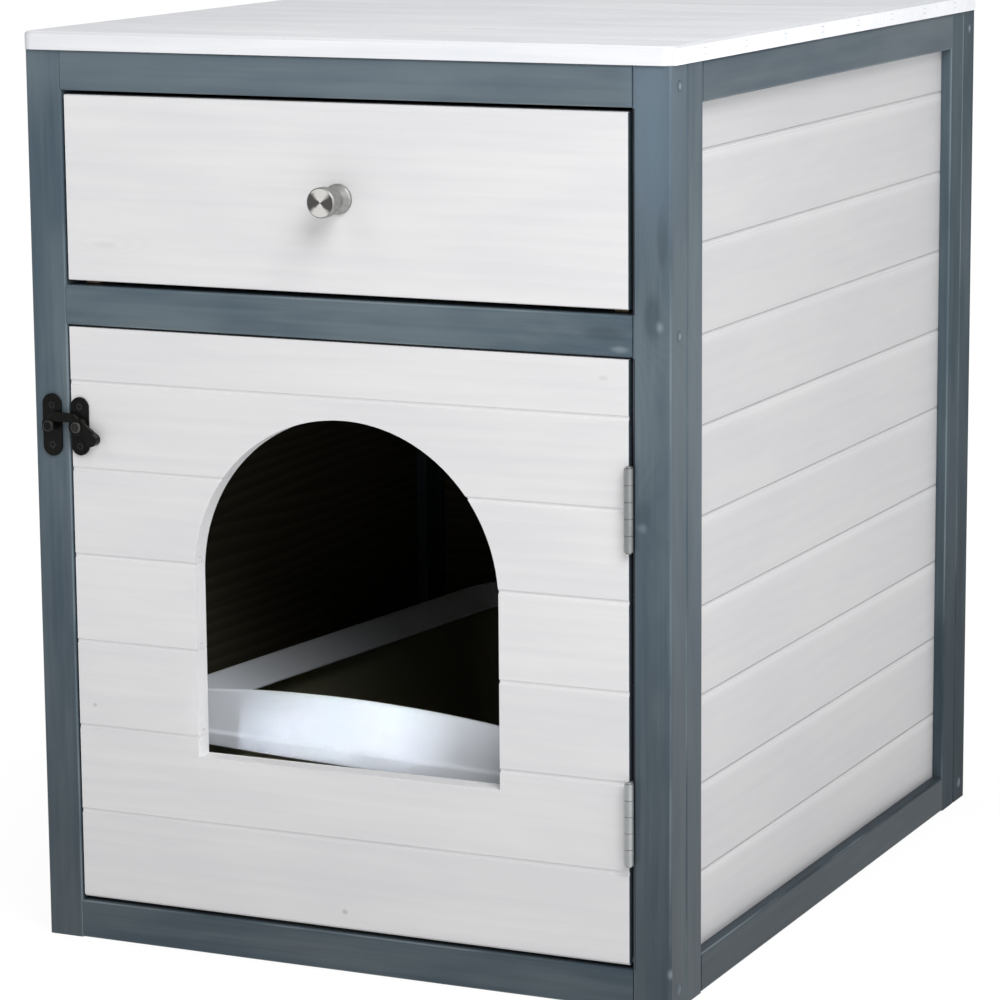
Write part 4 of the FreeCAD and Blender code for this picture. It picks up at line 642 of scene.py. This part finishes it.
def fillerPaint(look):
    # pale in the middle, where the paint has sunk into the filler, and fainter towards the floor
    shop = Shop("filled_screw_heads")
    x, y, z = [shop.spot[axis] for axis in "XYZ"]
    middle = shop.node("ShaderNodeAttribute", {"attribute_name": "middle"}, output="Fac")
    patches = shop.noise(x * look["patchScale"], y * look["patchScale"], z * look["patchScale"])
    pale = shop.smooth(z, 0.0, look["paleSpan"]) * (look["pale"] - look["paleLow"]) + look["paleLow"]
    share = shop.smooth(middle + (patches - 0.5) * 0.5, 0.25, 0.75) * pale
    return shop.finish(shop.mix(share, look["paint"], look["filler"]), 0.55 + (patches - 0.5) * 0.2,
                       height=patches, bump=0.2, depth=0.0002, specular=0.3)


class Nodes:
    # a geometry tree: its named inputs, and the nodes between them and its output
    def __init__(self, name, inputs):
        self.tree = bpy.data.node_groups.new(name, "GeometryNodeTree")
        self.sockets = {}
        panel = self.tree.interface
        panel.new_socket("Geometry", in_out="OUTPUT", socket_type="NodeSocketGeometry")
        for label, kind in inputs.items():
            self.sockets[label] = panel.new_socket(label, in_out="INPUT", socket_type=kind)
        self.input = self.tree.nodes.new("NodeGroupInput")

    def plug(self, socket, value):
        if isinstance(value, bpy.types.NodeSocket):
            self.tree.links.new(value, socket)
        elif value is not None:
            socket.default_value = value

    def node(self, kind, settings=None, values=None, output=0):
        made = self.tree.nodes.new(kind)
        for key, setting in (settings or {}).items():
            setattr(made, key, setting)
        pairs = values.items() if isinstance(values, dict) else enumerate(values or [])
        for key, value in pairs:
            self.plug(made.inputs[key], value)
        return made.outputs[output]

    def maths(self, operation, *values):
        return self.node("ShaderNodeMath", {"operation": operation}, values)

    def close(self, geometry, material):
        dressed = self.node("GeometryNodeSetMaterial", values={"Geometry": geometry, "Material": material})
        end = self.tree.nodes.new("NodeGroupOutput")
        self.tree.links.new(dressed, end.inputs[0])

    def grow(self, mesh, values):
        # the tree's result on a mesh, as one plain mesh
        carrier = bpy.data.objects.new("carrier", mesh)
        bpy.context.scene.collection.objects.link(carrier)
        modifier = carrier.modifiers.new("nodes", "NODES")
        modifier.node_group = self.tree
        for label, value in values.items():
            modifier[self.sockets[label].identifier] = value
        bpy.context.view_layer.update()
        result = bpy.data.meshes.new_from_object(carrier.evaluated_get(bpy.context.evaluated_depsgraph_get()))
        bpy.data.objects.remove(carrier)
        return result


def makePlugs():
    look = plugLook
    face = extent("right_side_front_post", 0)[1]
    rows = {"front": extent("front_right_post", 1), "rear": extent("back_right_post", 1)}
    spots = [(side * face, sum(rows[row]) / 2, height)
             for side in (-1, 1) for row, heights in look["heights"].items() for height in heights]
    points = bpy.data.meshes.new("plug_places")
    points.from_pydata(spots, [], [])
    inputs = {"Geometry": "NodeSocketGeometry", "Radius": "NodeSocketFloat", "Dome": "NodeSocketFloat",
              "Lumps": "NodeSocketFloat", "Seed": "NodeSocketInt"}
    shop = Nodes("filler_plugs", inputs)
    given = shop.input.outputs
    disc = shop.node("GeometryNodeMeshCircle", {"fill_type": "TRIANGLE_FAN"},
                     {"Vertices": look["corners"], "Radius": given["Radius"]})
    disc = shop.node("GeometryNodeSubdivideMesh", values={"Mesh": disc, "Level": look["rounds"]})
    place = shop.node("GeometryNodeInputPosition")
    reach = shop.maths("DIVIDE", shop.node("ShaderNodeVectorMath", {"operation": "LENGTH"}, [place], "Value"),
                       given["Radius"])
    middle = shop.maths("SUBTRACT", 1.0, reach)
    bump = shop.node("ShaderNodeTexNoise", {"noise_dimensions": "4D"},
                     {"Vector": place, "W": given["Seed"], "Scale": look["lumpScale"]})
    rise = shop.maths("ADD", shop.maths("MULTIPLY", shop.maths("SQRT", middle), given["Dome"]),
                      shop.maths("MULTIPLY", shop.maths("MULTIPLY", bump, middle), given["Lumps"]))
    disc = shop.node("GeometryNodeSetPosition", values={
        "Geometry": disc, "Offset": shop.node("ShaderNodeCombineXYZ", values=[0.0, 0.0, rise])})
    disc = shop.node("GeometryNodeStoreNamedAttribute", {"data_type": "FLOAT", "domain": "POINT"},
                     {"Geometry": disc, "Name": "middle", "Value": middle})
    side = shop.maths("SIGN", shop.node("ShaderNodeSeparateXYZ", values=[place]))
    spin = shop.node("FunctionNodeRandomValue", {"data_type": "FLOAT"},
                     {"Min": -3.14, "Max": 3.14, "Seed": given["Seed"]}, "Value")
    turn = shop.node("ShaderNodeCombineXYZ", values=[0.0, shop.maths("MULTIPLY", side, math.pi / 2), 0.0])
    plugs = shop.node("GeometryNodeInstanceOnPoints",
                      values={"Points": given["Geometry"], "Instance": disc, "Rotation": turn})
    own = shop.node("ShaderNodeCombineXYZ", values=[0.0, 0.0, spin])
    plugs = shop.node("GeometryNodeRotateInstances", values={"Instances": plugs, "Rotation": own})
    shop.close(shop.node("GeometryNodeRealizeInstances", values=[plugs]), fillerPaint(look))
    mesh = shop.grow(points, {"Radius": look["radius"], "Dome": look["dome"], "Lumps": look["lumps"],
                              "Seed": look["seed"]})
    mesh.shade_smooth()
    plugPiece = bpy.data.objects.new("filler_plugs", mesh)
    bpy.context.scene.collection.objects.link(plugPiece)
    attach(plugPiece, "cabinet")


makePlugs()
print("plugs ready")


# Paint that bridges the joints between boards

filmLook = {"depth": 0.0005, "hollow": 0.0003, "reach": 0.0014, "thick": 0.0006, "steps": 6, "pieces": 12}


def filmSection(look):
    # a hollow strip seen end on: how far across and how deep each corner lies
    steps = look["steps"]
    shares = [2 * step / steps - 1 for step in range(steps + 1)]
    outer = [(share * look["reach"], look["depth"] + look["hollow"] * (1 - share * share))
             for share in shares]
    return outer + [(across, depth + look["thick"]) for across, depth in reversed(outer)]


def addFilms(name, body, paint, joints, look):
    # each joint is its start, its end and the way its face looks
    section = filmSection(look)
    count = len(section)
    vertices = []
    faces = []
    for start, end, outward in joints:
        along = end - start
        across = outward.cross(along).normalized()
        first = len(vertices)
        for station in range(look["pieces"] + 1):
            spot = start + along * station / look["pieces"]
            vertices += [spot + across * side - outward * depth for side, depth in section]
        for station in range(look["pieces"]):
            row = first + station * count
            for index in range(count):
                after = (index + 1) % count
                faces.append((row + index, row + count + index, row + count + after, row + after))
        faces.append(tuple(first + index for index in range(count)))
        last = first + look["pieces"] * count
        faces.append(tuple(last + index for index in reversed(range(count))))
    mesh = bpy.data.meshes.new(name)
    mesh.from_pydata(vertices, [], faces)
    mesh.materials.append(paint)
    film = bpy.data.objects.new(name, mesh)
    bpy.context.scene.collection.objects.link(film)
    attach(film, body)


def jointHeights(boards, low, high):
    # where the joints of a row of boards lie between two heights
    first = math.ceil((low - boards["start"]) / boards["pitch"])
    last = math.floor((high - boards["start"]) / boards["pitch"])
    return [boards["start"] + index * boards["pitch"] for index in range(first, last + 1)]


doorway = {"radius": 0.1155, "spring": 0.271, "sill": 0.142, "inset": 0.0004}


def doorJoints():
    # each joint of the door stops at the doorway, whose top is round
    face = extent("door_board_1", 1)[0]
    left, right = extent("door_board_1", 0)
    lowest, highest = extent("door_board_6", 2)[0], extent("door_board_1", 2)[0]
    joints = []
    for height in jointHeights(seams["door"], lowest - 0.001, highest + 0.001):
        spans = [(left, right)]
        above = height - doorway["spring"]
        if doorway["sill"] < height and above < doorway["radius"]:
            half = math.sqrt(doorway["radius"] ** 2 - max(above, 0) ** 2) + doorway["inset"]
            spans = [(left, -half), (half, right)]
        joints += [(Vector((start, face, height)), Vector((end, face, height)), Vector((0, -1, 0)))
                   for start, end in spans]
    return joints


def panelJoints(name, axis, along):
    # joints of a side's or the back's boards, on their outer face
    low, high = extent(name, axis)
    face, way = (high, 1) if high > 0 else (low, -1)
    outward = Vector((way, 0, 0)) if axis == 0 else Vector((0, way, 0))
    ends = []
    for reach in extent(name, along):
        ends.append(Vector((face, reach, 0)) if axis == 0 else Vector((reach, face, 0)))
    return [(ends[0] + Vector((0, 0, height)), ends[1] + Vector((0, 0, height)), outward)
            for height in jointHeights(seams["side"], *extent(name, 2))]


sideFilm = dict(filmLook, depth=0.0001, hollow=0.00015)
addFilms("door_paint_film", "door", whiteDoor, doorJoints(), filmLook)
for side in ("left", "right"):
    addFilms(f"{side}_side_paint_film", "cabinet", whiteSide,
             panelJoints(f"{side}_side_boards", 0, 1), sideFilm)
addFilms("back_paint_film", "cabinet", whiteBack, panelJoints("back_boards", 1, 0), filmLook)
print("paint films ready")


# Floor, light and camera

studio = {
    "floor": 40.0, "floorShade": 0.08, "floorClouds": 0.02, "cloudScale": 3,
    "glowStart": 0.3, "glowEnd": 1.4, "glowNear": 0.93, "glowFar": 1.0, "world": 0.24,
    "key": {"power": 40.5, "size": (1.25, 1.25), "place": (1.25, -1.58, 1.92), "target": (0.05, -0.1, 0.35)},
    "fill": {"power": 7.0, "size": (0.9, 0.9), "place": (-1.3, -1.9, 1.9), "target": (0, -0.2, 0.4)},
    "overhead": {"power": 19.0, "size": (1.0, 1.0), "place": (0, 0.3, 2.4), "target": (0, 0.15, 0)},
    "side": {"power": 2.4, "size": (0.5, 0.7), "place": (1.15, -0.85, 0.75), "target": (0.24, -0.25, 0.42)},
    "tray": {"power": 0.0115, "size": (0.145, 0.03), "place": (0.17, -1.2, 0.62),
             "target": (-0.040, -0.25, 0.163), "spread": 3.4, "colour": (0.88, 0.95, 1.0)},
}


def addFloor():
    shop = Shop("pale_floor")
    x = shop.spot["X"]
    y = shop.spot["Y"]
    scale = studio["cloudScale"]
    level = studio["floorShade"] + shop.noise(x * scale, y * scale, 0.0) * studio["floorClouds"]
    distance = (x * x + y * y).maths("SQRT")
    near = studio["glowNear"]
    glow = shop.smooth(distance, studio["glowStart"], studio["glowEnd"]) * (studio["glowFar"] - near) + near
    paper = shop.finish(shop.vector(level, level, level), 0.9, specular=0.0)
    shop.plug(shop.shader.inputs["Emission Color"], shop.vector(glow, glow, glow))
    shop.shader.inputs["Emission Strength"].default_value = 1.0
    mesh = bpy.data.meshes.new("floor")
    half = studio["floor"]
    corners = [(-half, -half, 0), (half, -half, 0), (half, half, 0), (-half, half, 0)]
    mesh.from_pydata(corners, [], [(0, 1, 2, 3)])
    mesh.materials.append(paper)
    floor = bpy.data.objects.new("floor", mesh)
    bpy.context.scene.collection.objects.link(floor)


def addLight(name, look):
    data = bpy.data.lights.new(name, "AREA")
    data.energy = look["power"]
    data.shape = "RECTANGLE"
    data.size, data.size_y = look["size"]
    data.spread = math.radians(look.get("spread", 180))
    data.color = look.get("colour", (1, 1, 1))
    lamp = bpy.data.objects.new(name, data)
    lamp.location = look["place"]
    lamp.rotation_euler = (Vector(look["target"]) - lamp.location).to_track_quat("-Z", "Y").to_euler()
    bpy.context.scene.collection.objects.link(lamp)


def addWorld():
    world = bpy.data.worlds.new("studio")
    world.use_nodes = True
    background = world.node_tree.nodes["Background"]
    background.inputs["Color"].default_value = (1, 1, 1, 1)
    # the room is as pale as the floor to look at, and softer as a light
    seen = world.node_tree.nodes.new("ShaderNodeLightPath").outputs["Is Camera Ray"]
    strength = world.node_tree.nodes.new("ShaderNodeMapRange")
    strength.inputs["To Min"].default_value = studio["world"]
    strength.inputs["To Max"].default_value = studio["glowFar"]
    world.node_tree.links.new(seen, strength.inputs["Value"])
    world.node_tree.links.new(strength.outputs["Result"], background.inputs["Strength"])
    bpy.context.scene.world = world


cameraLook = {"lens": 141.51, "place": (1.193375, -2.625003, 0.818423), "turn": (79.4397, 0.4295, 24.744)}


def addCamera():
    data = bpy.data.cameras.new("camera")
    data.lens = cameraLook["lens"]
    data.sensor_width = 36.0
    data.clip_end = 200.0
    camera = bpy.data.objects.new("camera", data)
    camera.location = cameraLook["place"]
    camera.rotation_euler = [math.radians(angle) for angle in cameraLook["turn"]]
    bpy.context.scene.collection.objects.link(camera)
    bpy.context.scene.camera = camera


addFloor()
addWorld()
for lamp in ("key", "fill", "overhead", "side", "tray"):
    addLight(lamp, studio[lamp])
addCamera()
bpy.context.scene.view_settings.view_transform = "Standard"
print("studio ready")
